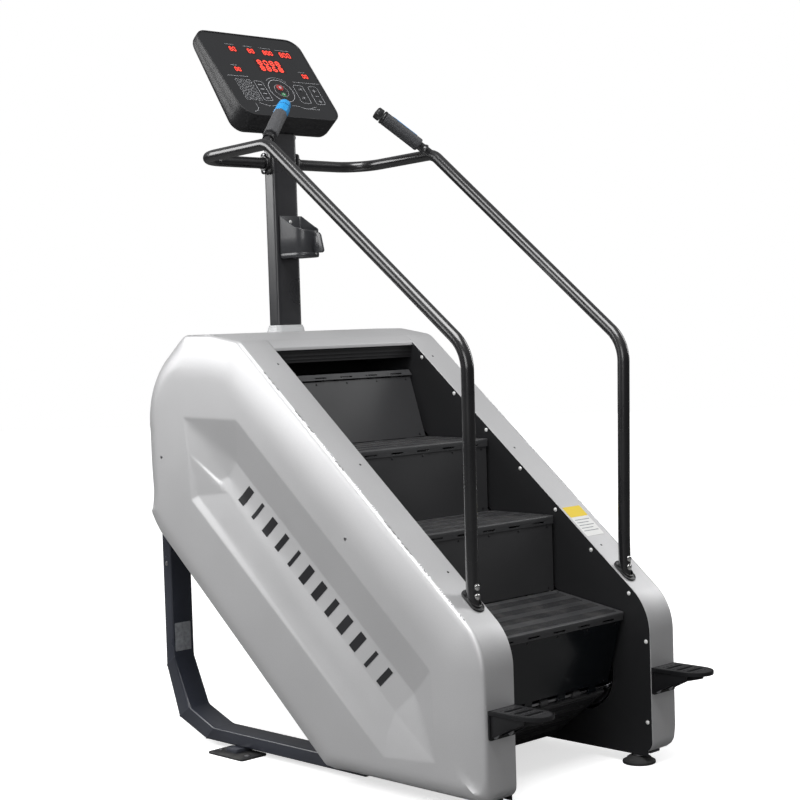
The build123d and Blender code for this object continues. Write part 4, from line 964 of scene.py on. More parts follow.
def build_riser(part, k, mat=RISER, rivets=True):
    place = plate_frame(PINS[k], NOSES[k])
    wide = k in (1, 5)                      # larger eyes on the foot pin
    low, high = (14.2 if wide else 9.2), RISE - 9.2
    # pan with its long edges folded back
    profile = [(low, 2.0), (low, 5.0), (low + 1.8, 6.9), (high - 1.8, 6.9), (high, 5.0),
               (high, 2.0), (high - 2, 2.0), (high - 2, 4.6), (high - 2.6, 5.0),
               (low + 2.6, 5.0), (low + 2, 4.6), (low + 2, 2.0)]
    part.prism(profile, place, -RISER_X, RISER_X, mat)
    for s in (-1, 1):
        part.prism(rect(low + 0.3, high - 0.3, 1.0, 6.6), place, s * 252.9, s * 250.9, mat,
                   bevel=0.4)
    # stiffening ribs along both edges
    for a in (20.0, RISE - 24.0):
        part.prism(rect(a - 1.2, a + 1.2, -3.4, 5.2), place, -250, 250, mat)
    # hinge eyes
    foot = 6.4 if wide else 4.6
    for x in (-190.0, -65.0, 65.0, 190.0):
        add_eye(part, place, 0, 8.2 if wide else 7.0, 6.4 if wide else 4.05, x, mat)
        add_eye(part, place, RISE, 7.0, 4.06, x, mat)
        part.prism(rect(foot, low + 4, 3.4, 6.6), place, x - 14.5, x + 14.5, mat)
        part.prism(rect(high - 4, RISE - 4.6, 3.4, 6.6), place, x - 14.5, x + 14.5, mat)
    if rivets:
        for x in (-232, -116, 0, 116, 232):
            for a in (high - 9, low + 9) if abs(x) == 232 else (high - 9,):
                part.stud(place(a, 6.8, x), place(a, 7.8, x), 3.2, 0.8, DARK_SCREW, seg=14,
                          bevel=0.3, dome=0.6)


def add_steps():
    single = (1, 2, 3, 4, 5, 8)

    def body(kind, k):
        return "lifting_run" if k in (2, 3) else "%s_%d_body" % (kind, k)

    for k in single:
        part = Part("step_plate_%d" % k)
        build_tread(part, k)
        if k in (1, 4, 5, 8):
            part.cylinder(row(-250, *NOSES[k]), (1, 0, 0), 4.0, 500, STEEL, seg=20)
        part.done(body("tread", k), ["tread_%d" % k], "step_black", smooth=32)
    for k in single:
        part = Part("riser_plate_%d" % k)
        # the lowest riser takes the darker riser black, which is painted shade
        build_riser(part, k, SHADED_RISER if k == 1 else RISER)
        part.done(body("riser", k), ["riser_%d" % k], "step_black", smooth=32)
    treads, risers = Part("step_plates_return"), Part("riser_plates_return")
    for k in (6, 7):
        build_tread(treads, k)
        build_riser(risers, k, rivets=False)
    treads.done("return_run", ["return_treads"], "step_black", smooth=32)
    risers.done("return_run", ["return_risers"], "step_black", smooth=32)


# ------------------------------ handrail -----------------------------------
RAIL_X, RAIL_U = 294.3, 100.0               # foot of each rail
BAR_U, BAR_V = 1099.0, 1616.0               # crossbar at the mast
# one side of the rail from its foot: x, u, v, bend radius
RAIL_STATIONS = [(RAIL_X, RAIL_U, 302, 0), (RAIL_X, RAIL_U, 560, 400),
                 (299.9, 90.0, 1075.8, 105), (314.4, 782.1, 1630.0, 60),
                 (311.6, BAR_U, BAR_V, 95)]
GRIP_FOOT, GRIP_TIP = (300.0, 797.0, 1641.0), (172.4, 869.5, 1753.2)


def grip_axis(side):
    """Foot, unit direction and length (m) of a grip."""
    foot, tip = (Vector(row(side * x, u, v)) for x, u, v in (GRIP_FOOT, GRIP_TIP))
    return foot, (tip - foot).normalized(), (tip - foot).length


def add_handrail():
    part = Part("rail_tube")
    left = [(-x, u, v, r) for x, u, v, r in RAIL_STATIONS]
    line = rounded(left + RAIL_STATIONS[::-1], step=5.0, least=10)
    part.tube([row(*p) for p in densify(line, 60.0)], 16.0, GLOSS, seg=36)
    for side, _ in SIDES:
        foot, axis, length = grip_axis(side)
        part.tube([foot - axis * 0.016 + axis * (length - 0.006) * t
                   for t in (0, 0.3, 0.6, 1)], 13.0, GLOSS)
        # uneven weld bead where the stub meets the rail: height, radius
        x = axis.orthogonal().normalized()
        y = axis.cross(x)
        part.loft([[foot + axis * (h + 6) / 1000
                    + (x * cos(t) + y * sin(t)) * ((r + 0.25 * sin(9 * t)) / 1000)
                    for t in turn(40)]
                   for h, r in ((-3, 16.5), (1.5, 16.4), (4.5, 14.6), (7.5, 13.1))], GLOSS)
    part.done("machine", ["handrail"], "gloss_black", smooth=45)


def octagon(centre, x, y, r):
    """Octagon with softened corners; r is half the width across flats, in mm."""
    # fraction along each flat, pull towards the centre
    stations = ((0.077, 0.985), (0.22, 1), (0.5, 1), (0.78, 1), (0.923, 0.985))
    corner_r = r / cos(pi / 8)
    points = []
    for i in range(8):
        start, end = (np.array((cos(t), sin(t))) * corner_r
                      for t in ((i - 0.5) * pi / 4, (i + 0.5) * pi / 4))
        for fraction, pull in stations:
            a, b = (start + (end - start) * fraction) * pull
            points.append(centre + (x * a + y * b) / 1000)
    return points


def add_grip(side, name):
    left = side < 0
    foot, axis, length = grip_axis(side)
    length *= 1000
    x = (Vector((0, 0, 1)) - axis * axis.z).normalized()
    y = axis.cross(x)
    accent = BLUE if left else TRIM

    def grip_loft(part, profile, mat):
        """Octagonal loft from stations of (height along the grip, half width)."""
        part.loft([octagon(foot + axis * h / 1000, x, y, r) for h, r in profile], mat)

    part = Part("grip_sleeve_" + name)
    ridges = [(h, 18.9 - 0.35 * (k % 2)) for k, h in enumerate(np.arange(36, length - 36, 5.5))]
    grip_loft(part, [(26, 14.0), (26.5, 17.0), (28.5, 18.4), (31, 18.9)] + ridges + [
        (length - 33, 18.9), (length - 31, 18.4), (length - 30.4, 17.2),
        (length - 30.2, 14.0)], GRIP)
    part.done("machine", ["hand_grips"] if left else [], "grip_rubber", smooth=28)

    part = Part("grip_ring_" + name)
    start = length - (54.0 if left else 30.0)
    grip_loft(part, [(start, 14.0), (start + 0.2, 18.6), (start + 1.2, 19.4)] + [
        (length - h, r) for h, r in ((29.0, 19.6), (25, 19.4), (23.2, 18.6), (22.6, 17),
                                     (22.5, 14))], accent)
    if not left:
        # pointed blue strip let into the top of the grip
        end = length - 52
        strip = [(50, -6.4), (end, -6.4), (length - 44, 0), (end, 6.4), (50, 6.4), (42, 0)]
        part.prism(strip, lambda a, b, h: (foot + axis * a / 1000 + y * b / 1000
                                           + x * (18.4 + h) / 1000),
                   -1.2, 1.3, BLUE, bevel=0.5)
    part.done("machine", ["grip_rings"] if left else [], "accent_blue", smooth=28)

    part = Part("grip_cap_" + name)
    grip_loft(part, [(length - h, r) for h, r in (
        (19.2, 14.0), (19, 17.0), (18.4, 17.6), (4.2, 17.4), (1.6, 16.4), (0.4, 14.4),
        (0, 11.6))], accent)
    part.cylinder(foot + axis * length / 1000 - axis * 0.001, axis, 8.5, 1.7, accent, seg=28,
                  bevel=0.7)
    part.done(name + "_grip_button", ["grip_button_" + name],
              "accent_blue" if left else "grip_charcoal", smooth=28)


def add_rail_boots():
    """Moulded plates on the flank, each with a collar hugging the rail's foot."""
    part = Part("rail_boots")
    ca, sa = cos(FLANK_ANGLE), sin(FLANK_ANGLE)
    u0 = RAIL_U + 1.0
    v0 = flank_v(u0)

    def tube_cut(r):
        """Ellipse in which an upright tube cuts the sloping plate."""
        return [(-1.3 + r / ca * cos(t), r * sin(t)) for t in turn(36)]

    for side, _ in SIDES:
        def place(a, b, h):
            """a up the flank, b lateral, h off the flank."""
            lift = h + 0.3
            return row(side * RAIL_X + b, u0 + a * ca - lift * sa, v0 + a * sa + lift * ca)

        part.prism(slot_shape(0, 0, 73, 42, 12), place, 0.0, 3.2, TRIM, holes=[tube_cut(17.4)])
        # rolled rim: height, growth
        rim = ((3.2, 0), (4.6, -0.8), (5.2, -2.2), (5.0, -3.6), (3.2, -4.4))
        part.loft([[place(a, b, h) for a, b in slot_shape(0, 0, 73 + 2 * g, 42 + 2 * g, 12)]
                   for h, g in rim], TRIM, cap=False)
        # collar: height, radius
        collar = ((-1, 19.4), (5, 19.2), (8, 18.3), (8.2, 17.0), (-1, 17.0))
        part.band([[place(a, b, h) for a, b in tube_cut(r)] for h, r in collar], TRIM)
    part.done("machine", ["rail_foot_trims"], "trim_black", smooth=35)


# ------------------------------ screws -------------------------------------
def add_pan_screw(part, start, axis, r, h, mat, socket=True):
    axis = Vector(axis).normalized()
    part.cylinder(start, axis, r, h * 0.45, mat, seg=22, bevel=0.3, dome=h * 0.55)
    if socket:
        part.cylinder(Vector(start) + axis * h * 0.0009, axis, r * 0.42, 0.14, DARK_SCREW,
                      seg=6, bevel=0.05)


# (u, v) down the inner faces of the stair opening
PANEL_SCREWS = [(803, 1044), (677, 940), (556, 838), (432, 734), (308, 626), (187, 525),
                (63, 419), (10.6, 297), (11.6, 84)]


def add_panel_screws():
    part = Part("panel_screws")
    for side, _ in SIDES:
        for u, v in PANEL_SCREWS:
            add_pan_screw(part, row(side * 265.7, u + 3, v - 3), (-side, 0, 0), 5.6, 2.4,
                          PALE_SCREW, socket=False)
        # washered bolts on the rear of the rail
        for v in (481.0, 504.0):
            start = row(side * RAIL_X, RAIL_U - 15.6, v)
            add_pan_screw(part, start, (0, -1, 0), 7.0, 4.2, ZINC)
            part.cylinder(start, (0, -1, 0), 8.6, 1.1, ZINC, seg=26, bevel=0.3)
    part.done("machine", ["bright_screws"], "bright_steel")


def add_casing_screws():
    part = Part("casing_screws")
    off_flank = Vector((0, -sin(FLANK_ANGLE), cos(FLANK_ANGLE)))
    for side, _ in SIDES:
        outward = Vector((side, 0, 0))
        for u, v in ((1205, 786), (448, 606)):
            start = Vector(row(side * (face_x([(u, v)])[0] - 0.9), u, v))
            part.cylinder(start, outward, 5.2, 1.2, GREY_SCREW, bevel=0.4, dome=0.35)
            part.cylinder(start + outward * 0.00152, outward, 2.0, 0.14, DARK_SCREW, seg=6,
                          bevel=0.05)
        for u in (791, 481, 179):
            start = Vector(row(side * 296, u, flank_v(u))) - off_flank * 0.0006
            part.cylinder(start, off_flank, 3.4, 0.8, DARK_SCREW, seg=18, bevel=0.3, dome=0.25)
    part.done("machine", ["shell_screws"], "bright_steel")


# ------------------------------ mast and clamps ----------------------------
# The console is a wedge; its face runs between these (u, v) points.
CONSOLE_LOW, CONSOLE_HIGH = (1024.1, 1742.6), (1237.2, 2009.6)
CONSOLE_LOW_X, CONSOLE_HIGH_X = 186.6, 197.7        # half widths
CONSOLE_LOW_DEPTH, CONSOLE_HIGH_DEPTH = 84.0, 36.0
CASE_DEPTH, UNSTRETCHED = 52.0, 5.0     # nominal case depth; its first 5 mm isn't stretched
FACE_LENGTH = hypot(CONSOLE_HIGH[0] - CONSOLE_LOW[0], CONSOLE_HIGH[1] - CONSOLE_LOW[1])
FACE_U = (CONSOLE_HIGH[0] - CONSOLE_LOW[0]) / FACE_LENGTH
FACE_V = (CONSOLE_HIGH[1] - CONSOLE_LOW[1]) / FACE_LENGTH
BACK_LOW = (CONSOLE_LOW[0] + CONSOLE_LOW_DEPTH * FACE_V,
            CONSOLE_LOW[1] - CONSOLE_LOW_DEPTH * FACE_U)
BACK_HIGH = (CONSOLE_HIGH[0] + CONSOLE_HIGH_DEPTH * FACE_V,
             CONSOLE_HIGH[1] - CONSOLE_HIGH_DEPTH * FACE_U)


def on_face(x, b, h):
    """Console coordinates: x lateral, b up the face, h out of the face."""
    return row(x, CONSOLE_LOW[0] + b * FACE_U - h * FACE_V,
               CONSOLE_LOW[1] + b * FACE_V + h * FACE_U)


def in_case(x, b, h):
    """As on_face, with depths written for the nominal case stretched to the wedge."""
    if h < -UNSTRETCHED:
        taper = (CONSOLE_HIGH_DEPTH - CONSOLE_LOW_DEPTH) * b / FACE_LENGTH
        depth = CONSOLE_LOW_DEPTH + taper - UNSTRETCHED
        h = -UNSTRETCHED + (h + UNSTRETCHED) * depth / (CASE_DEPTH - UNSTRETCHED)
    return on_face(x, b, h)


def mast_top(u):
    """Height at which the mast meets the console's lower and back faces."""
    start, end = (CONSOLE_LOW, BACK_LOW) if u < BACK_LOW[0] else (BACK_LOW, BACK_HIGH)
    return start[1] + (u - start[0]) * (end[1] - start[1]) / (end[0] - start[0]) - 1.0


def add_mast():
    part = Part("mast_tube")
    foot = 1043.3
    outline = densify(round_rect(MAST_W, MAST_D, 10.0, 9, 0, MAST_U), 6.0, closed=True)
    rings = [level(outline, v) for v in (foot, 1160, 1400, 1640)]
    rings.append([row(x, u, mast_top(u)) for x, u in outline])
    part.loft(rings, MAST)
    part.prism(rect(1069.5, 1127.5, foot, 1051.3), section, -65, 65, MAST, bevel=1.0)
    part.done("machine", ["mast"], "gloss_black", smooth=30)


def add_bar_clamps():
    part = Part("bar_clamps")
    for side, _ in SIDES:
        x = side * (MAST_W / 2 + 0.3)
        outward = (side, 0, 0)
        part.prism(round_rect(44, 62, 11, 8, BAR_U, BAR_V), section, x, x + side * 10, TRIM,
                   bevel=1.0)
        for dv in (-24, 24):
            start = Vector(row(x + side * 10, BAR_U, BAR_V + dv))
            part.cylinder(start, outward, 7.8, 1.2, GREY_SCREW, bevel=0.3)
            part.cylinder(start + Vector((side * 0.0012, 0, 0)), outward, 6.4, 4.6, DARK_SCREW,
                          seg=6, bevel=0.8)
            part.cylinder(start + Vector((side * 0.0052, 0, 0)), outward, 3.6, 2.0, GREY_SCREW,
                          seg=14)
        # collar round the bar: height, radius
        collar = ((0, 17.2), (0, 21.5), (9.5, 21.2), (10.5, 20.2), (10.5, 17.2))
        part.band([[row(x + side * (10 + h), u, v) for u, v in circle(BAR_U, BAR_V, r, 32)]
                   for h, r in collar], TRIM)
    part.done("machine", ["crossbar_clamp"], "gloss_black")


# ------------------------------ console ------------------------------------
def console_outline(inset, tighter):
    """Face outline moved in by inset, its corner radii reduced by tighter."""
    low_x, high_x = CONSOLE_LOW_X - inset, CONSOLE_HIGH_X - inset
    top = FACE_LENGTH - inset
    corners = [np.array(p, float) for p in (
        (-low_x, inset), (low_x, inset), (high_x, top), (-high_x, top))]
    radii = (48 - tighter, 48 - tighter, 44 - tighter, 44 - tighter)
    out = []
    for i in range(4):
        out += fillet(corners[i - 1], corners[i], corners[(i + 1) % 4], radii[i])
    return out


# case wall from the face to the back: inset, height, corner tightening
CASE_STATIONS = (
    (6.4, -6.6, 6), (5.4, -2.2, 5), (4.2, -0.6, 4), (2.6, -0.1, 2.6), (1.4, -0.5, 1.4),
    (0.4, -1.8, 0.4), (0, -4.5, 0), (0, -22, 0), (0.6, -24, 0.6), (0.6, -25.2, 0.6),
    (0, -27, 0), (0.4, -38, 0.4), (2.2, -43, 2.2), (5.5, -47.5, 5.5), (10, -50.5, 10),
    (16, -CASE_DEPTH, 16))


def add_console_case():
    part = Part("console_case")
    part.loft([[in_case(x, b, h) for x, b in console_outline(inset, tighter)]
               for inset, h, tighter in CASE_STATIONS], CONSOLE, cap=False)
    # back plate, and the shelf under the film
    part.prism(console_outline(16, 16), in_case, -CASE_DEPTH, -49.6, CONSOLE)
    part.prism(console_outline(6.3, 6), on_face, -10.2, -6.6, CONSOLE)
    # boss over the mast, raised slot shapes and four screws on the back
    part.prism(round_rect(120, 90, 14, 7, 0, 42), in_case, -57.0, -CASE_DEPTH, CONSOLE,
               bevel=1.6)
    for k in range(7):
        part.prism(slot_shape(0, 210 + k * 11, 110, 4.2), in_case, -52.9, -CASE_DEPTH, TRIM,
                   bevel=0.3)
    for x, b in ((-150, 40), (150, 40), (-155, 300), (155, 300)):
        part.stud(in_case(x, b, -51.9), in_case(x, b, -52.9), 5.0, 1.6, DARK_SCREW, seg=18,
                  bevel=0.4)
    # dark discs along the lower face
    for x, r in ((-36, 3.2), (60, 3.2), (96, 5.0)):
        part.stud(on_face(x, 0.3, -30), on_face(x, -0.7, -30), r, 0.6, DARK_SCREW, seg=18,
                  bevel=0.2)
    part.done("machine", ["console_housing"], "console_black", smooth=30)


# key: x, b, radius, material, body, slot
KEYS = {
    "stop_key": (12.0, 124.0, 12.0, KEY_RED, "stop_button", "key_red"),
    "start_key": (12.0, 96.0, 8.0, KEY_GREEN, "start_button", "key_green"),
    "speed_up_key": (92.0, 124.0, 8.0, KEY_GREY, "speed_up_button", "key_grey"),
    "speed_down_key": (84.5, 88.0, 8.0, KEY_GREY, "speed_down_button", "key_grey")}
FILM_TOP = -2.6
FIGURES = {"0": "abcdef", "6": "afgedc", "8": "abcdefg"}


def print_line(part, points, width, closed=False):
    """Printed line; each piece overlaps the next a little."""
    points = [np.array(p, float) for p in points]
    if closed:
        points.append(points[0])
    for start, end in zip(points, points[1:]):
        t = unit(end - start)
        half = np.array((-t[1], t[0])) * width / 2
        lap = t * width * 0.35
        part.prism([start - lap - half, end + lap - half, end + lap + half,
                    start - lap + half], on_face, -2.62, -2.3, INK)


def print_box(part, x0, b0, x1, b1, r, width, skew=0.0):
    outline = round_rect(x1 - x0, b1 - b0, r, 5, (x0 + x1) / 2, (b0 + b1) / 2)
    print_line(part, [(x + skew * (b - b0), b) for x, b in outline], width, closed=True)


def add_window(part, x0, b0, x1, b1):
    part.prism(round_rect(x1 - x0, b1 - b0, 4, 4, (x0 + x1) / 2, (b0 + b1) / 2), on_face,
               -2.63, -2.45, LED_WINDOW)


def add_figure(part, x, b, width, height, figure, stroke):
    """Seven-segment figure centred on (x, b)."""
    left, right = x - width / 2, x + width / 2
    low, high = b - height / 2, b + height / 2
    segments = {"a": ((left, high), (right, high)), "b": ((right, b), (right, high)),
                "c": ((right, low), (right, b)), "d": ((left, low), (right, low)),
                "e": ((left, low), (left, b)), "f": ((left, b), (left, high)),
                "g": ((left, b), (right, b))}
    for letter in FIGURES[figure]:
        start, end = (np.array(p, float) for p in segments[letter])
        t = unit(end - start)
        half = np.array((-t[1], t[0])) * stroke / 2
        start, end = start + t * stroke * 0.6, end - t * stroke * 0.6
        point = t * stroke * 0.45
        part.prism([start - half, end - half, end + point, end + half, start + half,
                    start - point], on_face, -2.5, -2.2, LED)


def add_displays(part):
    # top row: x, b, number of figures, scale
    for x, b, count, scale in ((-84, 274, 2, 1.0), (-16, 273, 2, 1.0), (48, 272, 3, 1.0),
                               (114, 270, 3, 1.15)):
        width = 13 * scale * count + 6
        add_window(part, x - width / 2, b - 13 * scale, x + width / 2, b + 13 * scale)
        for i in range(count):
            add_figure(part, x + (i - (count - 1) / 2) * 13 * scale, b, 7.5 * scale,
                       16 * scale, "0" if i else "8", 2.4)
        print_line(part, [(x - width / 2 - 4, b + 19), (x + width / 2 - 2, b + 19)], 1.0)
    # centre window with two rows of four
    add_window(part, -26, 190, 78, 240)
    for i, (upper, lower) in enumerate(("88", "08", "86", "88")):
        add_figure(part, -8 + i * 23, 227, 13, 17, upper, 4.2)
        add_figure(part, -8 + i * 23, 203, 13, 17, lower, 4.2)
    # a pair of figures on each side
    for x, b in ((-110, 188), (144, 184)):
        add_window(part, x - 15, b - 11, x + 15, b + 11)
        for i in range(2):
            add_figure(part, x + (i - 0.5) * 12, b, 7, 14, "0", 2.4)
        print_line(part, [(x - 18, b + 16), (x + 6, b + 16)], 1.0)


def add_prints(part):
    """Outlined keypad, rings round the keys and the lines about them."""
    print_line(part, [(-165, 158), (-88, 160)], 1.0)
    print_line(part, [(80, 155), (184, 156)], 1.0)
    for r in range(5):
        for c in range(3):
            x, b = -137 + c * 21, 140 - r * 17.5
            print_box(part, x - 8, b - 6.5, x + 8, b + 6.5, r=3, width=0.9)
            print_line(part, [(x - 2.4, b), (x + 2.4, b)], 1.2)
    print_box(part, -77, 66, -44, 144, r=6, width=1.1)
    for r in range(4):
        print_line(part, [(-67, 130 - r * 18), (-54, 130 - r * 18)], 2.2)
    x, b, ring_r = 12.0, 112.0, 44.0
    print_line(part, circle(x, b, ring_r, 56), 1.7, closed=True)
    print_line(part, arc(x, b, ring_r + 9, 0.25 * pi, 0.75 * pi, 18), 1.0)
    print_line(part, circle(x, b, 24, 40), 1.0, closed=True)
    print_box(part, 66, 68, 104, 142, r=9, width=1.2, skew=0.06)
    print_box(part, 124, 68, 160, 142, r=9, width=1.2, skew=0.06)
    for r in range(3):
        x, b = 145, 124 - r * 22
        print_line(part, [(x - 6, b), (x + 6, b)], 1.6)
        if r != 1:
            print_line(part, [(x, b - 6), (x, b + 6)], 1.6)
    for s in (-1, 1):
        wave = [(4 + s * (40 + 60 * t), 52 - 8 * sin(pi * t)) for t in np.linspace(0.1, 1, 10)]
        print_line(part, [(4 + s * 16, 52), (4 + s * 40, 52)] + wave + [(4 + s * 108, 54)],
                   1.1)
    print_line(part, [(-120, 50), (-118, 34), (-126, 22), (-140, 16)], 1.0)
    for i in range(9):
        print_line(part, [(60 + i * 7, 44), (64 + i * 7, 44)], 1.6)


def add_console_film():
    part = Part("console_film")
    part.prism([tuple(p) for p in console_outline(5.6, 5.2)], on_face, -6.4, FILM_TOP, FILM,
               holes=[circle(x, b, r + 0.3, 28) for x, b, r, *_ in KEYS.values()])
    add_displays(part)
    add_prints(part)
    part.done("machine", ["console_face"], "overlay_black", smooth=30)


def add_key(name):
    x, b, r, mat, body, slot = KEYS[name]
    part = Part("dome_" + name)
    dome = ((r, -7.4), (r, FILM_TOP), (r - 0.25, -1.6), (r - 0.9, -0.95), (r - 2.2, -0.75),
            (r * 0.5, -0.68), (r * 0.2, -0.66))
    part.loft([[on_face(*p, h) for p in circle(x, b, radius, 36)] for radius, h in dome], mat)
    if name == "stop_key":
        mark = round_rect(8, 8, 1, 4, x, b)
    elif name == "start_key":
        mark = [(x - 2.6, b - 3.6), (x + 3.8, b), (x - 2.6, b + 3.6)]
    else:
        s = 1 if name == "speed_up_key" else -1
        mark = [(x - 3.8, b - 2.2 * s), (x, b + 3.4 * s), (x + 3.8, b - 2.2 * s)]
    part.prism(mark, on_face, -0.75, -0.45, INK)
    part.done(body, [name], slot, smooth=30)


# ------------------------------ bottle holder ------------------------------
CUP_X, CUP_U, CUP_R, CUP_BACK = 7, 1013.0, 42.0, 1075.0


def cup_outline(inset):
    """Plan of the holder: round at low u, flat on the mast side."""
    r, back = CUP_R - inset, CUP_BACK - inset
    corner = max(1.0, 7 - inset)
    return (arc(CUP_X, CUP_U, r, pi, 2 * pi, 33)
            + arc(CUP_X + r - corner, back - corner, corner, 0, pi / 2, 6)
            + arc(CUP_X - r + corner, back - corner, corner, pi / 2, pi, 6))


def cup_mouth(u):
    return np.interp(u, (960, 1010, 1068, 1090), (1411.5, 1430, 1464, 1464))


# (inset, height v) up the outside, (inset, height from the mouth) over the lip,
# and (inset, height v) down the inside
CUP_OUTSIDE = ((5, 1340), (2.2, 1340.8), (0.6, 1343), (0, 1347), (0, 1352), (0.7, 1353),
               (0.7, 1354.2), (0, 1355.2), (0, 1400))
CUP_LIP = ((0, -8), (0, -6.5), (0, -1.5), (1.2, -0.2), (2.4, -0.2), (3.5, -1.8))
CUP_INSIDE = ((3.7, 1349), (7, 1344.5))


def add_bottle_cup():
    part = Part("bottle_cup")
    rings = [level(cup_outline(inset), v) for inset, v in CUP_OUTSIDE]
    rings += [[row(x, u, cup_mouth(u) + h) for x, u in cup_outline(inset)]
              for inset, h in CUP_LIP]
    rings += [level(cup_outline(inset), v) for inset, v in CUP_INSIDE]
    part.loft(rings, CUP)
    # ribs down the inside
    for angle in (205, 235, 270, 305, 335):
        t = radians(angle)
        x, u = CUP_X + 37.6 * cos(t), CUP_U + 37.6 * sin(t)
        part.prism(circle(x, u, 1.5, 10), row, 1346, cup_mouth(u) - 14, CUP)
    # fin on the round side, thicker in the middle
    fin = [(973, 1408), (958, 1410.6), (948, 1409), (942, 1402), (930.6, 1358), (933, 1353),
           (940, 1351.2), (973, 1352)]
    part.prism(fin, section, 4.6, 11.4, CUP, bevel=1.4, seg=3)
    part.prism([(966, 1398), (953, 1399), (947, 1366), (966, 1364)], section, 3.9, 12.1, CUP,
               bevel=0.6)
    add_pan_screw(part, row(CUP_X, 1071.6, 1446), (0, -1, 0), 5.6, 2.4, WHITE)
    add_pan_screw(part, row(CUP_X, 1071.6, 1372), (0, -1, 0), 4.6, 2.0, GREY_SCREW)
    part.done("machine", ["bottle_holder"], "trim_black", smooth=35)


# ------------------------------ side steps ---------------------------------
FOOT_STEP_HALF = 47.6
FOOT_STEP_SLOTS = (-40, -72, -104)          # u of the three slots
# section of the rolled edge: offset outwards, height above v = 223
ROLLED_EDGE = [(-4.5, 3.6), (-1.0, 3.6), (0.0, 2.8), (0.2, 0.0), (0.0, -4.8), (-0.8, -5.8),
               (-1.8, -5.8), (-2.6, -4.8), (-2.6, -3.4), (-4.5, -3.4)]


def add_foot_step(side, name):
    """Slotted plate standing out behind the casing, on ribs and a bolted back plate."""
    part = Part("foot_step_" + name)
    middle = side * (266.5 + 362.0) / 2
    half = FOOT_STEP_HALF
    part.prism(round_rect(2 * half, 71.6, 7, 6, middle, 191), elevation, -5.2, -0.4, PANEL,
               bevel=0.8)
    outline = [(half, -0.5)]
    outline += [(half * sin(t), -98 - 55.6 * cos(t)) for t in np.linspace(pi / 2, -pi / 2, 26)]
    outline += [(-half, -0.5)]
    outline = [(middle + x, u) for x, u in outline]
    part.prism(outline, row, 219.4, 226.6, PANEL,
               holes=[slot_shape(middle, u, 62, 11, 9) for u in FOOT_STEP_SLOTS])
    loop = np.array(densify(outline, 9.0, closed=True))
    outward = -loop_normals(loop)           # the outline runs clockwise
    part.band([[row(p[0] + n[0] * offset, min(p[1] + n[1] * offset, -0.45), 223.0 + h)
                for p, n in zip(loop, outward)] for offset, h in ROLLED_EDGE], PANEL)
    # raised lip round each slot: growth inwards, height
    lip = ((0.0, 226.5), (-0.9, 227.0), (-2.1, 227.0), (-2.8, 226.3), (-2.8, 226.0))
    for u in FOOT_STEP_SLOTS:
        part.loft([level(slot_shape(middle, u, 62 - 2 * g, 11 - 2 * g, 9), v)
                   for g, v in lip], PANEL, cap=False)
    # raised ridges between the slots
    for u in (-24, -56, -88, -120):
        for dx in (-24, -8, 8, 24):
            part.prism(slot_shape(middle + dx, u, 11, 3.2, 5), row, 226.5, 227.4, STRIP,
                       bevel=0.3)
    # ribs underneath, the middle one longer
    for dx in (-42.0, 0.0, 42.0):
        rib = [(-5, 219.6), (-112 if dx else -136, 219.6), (-106 if dx else -128, 206),
               (-60, 188), (-5, 160)]
        part.prism(rib, section, middle + dx - 1.8, middle + dx + 1.8, PANEL, bevel=0.5)
    for dx in (-26.0, 26.0):
        start = Vector(row(middle + dx, -5.2, 166))
        part.cylinder(start, (0, -1, 0), 9.4, 1.2, GREY_SCREW, seg=26, bevel=0.3)
        part.cylinder(start + Vector((0, -0.0012, 0)), (0, -1, 0), 6.9, 3.9, GREY_SCREW,
                      seg=6, bevel=0.6)
    part.done("machine", ["side_step_" + name], "panel_black", smooth=32)


# ------------------------------ legs and feet ------------------------------
LEG_FRONT, LEG_DEPTH = 1303.0, 38.6
LEG_REAR = LEG_FRONT - LEG_DEPTH
LEG_X, LEG_W, LEG_TUBE = 287.5, 74.6, 38.4
# lower/front and upper/rear lines of the leg (u, v), from the floor beam up the post
LEG_OUTER = [np.array(p, float) for p in (
    (471, -18), (1130, -18), (1252, 28), (LEG_FRONT, 170), (LEG_FRONT, 640))]
LEG_INNER = [np.array(p, float) for p in (
    (471, 20), (1090, 20), (1200, 62), (LEG_REAR, 200), (LEG_REAR, 640))]


def leg_stations():
    """Corner number, number of the run to offset along, offset and growth of each ring."""
    stations = [(0, 0, 0.0, -0.8)] + [(0, 0, off, 0.0) for off in (0.8, 120, 260, 400, 540)]
    for i in (1, 2, 3):                     # a weld bead at each mitre
        stations += [(i, i - 1, -4.0, 0.0), (i, i - 1, -2.4, 0.5), (i, i - 1, 0.0, 0.75),
                     (i, i, 2.4, 0.5), (i, i, 4.0, 0.0)]
    stations += [(4, 3, off, 0.0) for off in (-330, -220, -110, -0.8)]
    return stations + [(4, 3, 0.0, -0.8)]


def leg_ring(x, i, run, offset, grow):
    shift = unit(LEG_OUTER[run + 1] - LEG_OUTER[run]) * offset
    outer, inner = LEG_OUTER[i] + shift, LEG_INNER[i] + shift
    grow_x = (LEG_W + 2 * grow) / LEG_W
    grow_depth = (LEG_TUBE + 2 * grow) / LEG_TUBE
    return [row(x + a * grow_x, *(outer + (inner - outer) * (0.5 + b * grow_depth / 38.8)))
            for a, b in round_rect(LEG_W, LEG_TUBE, 5.5, 6)]


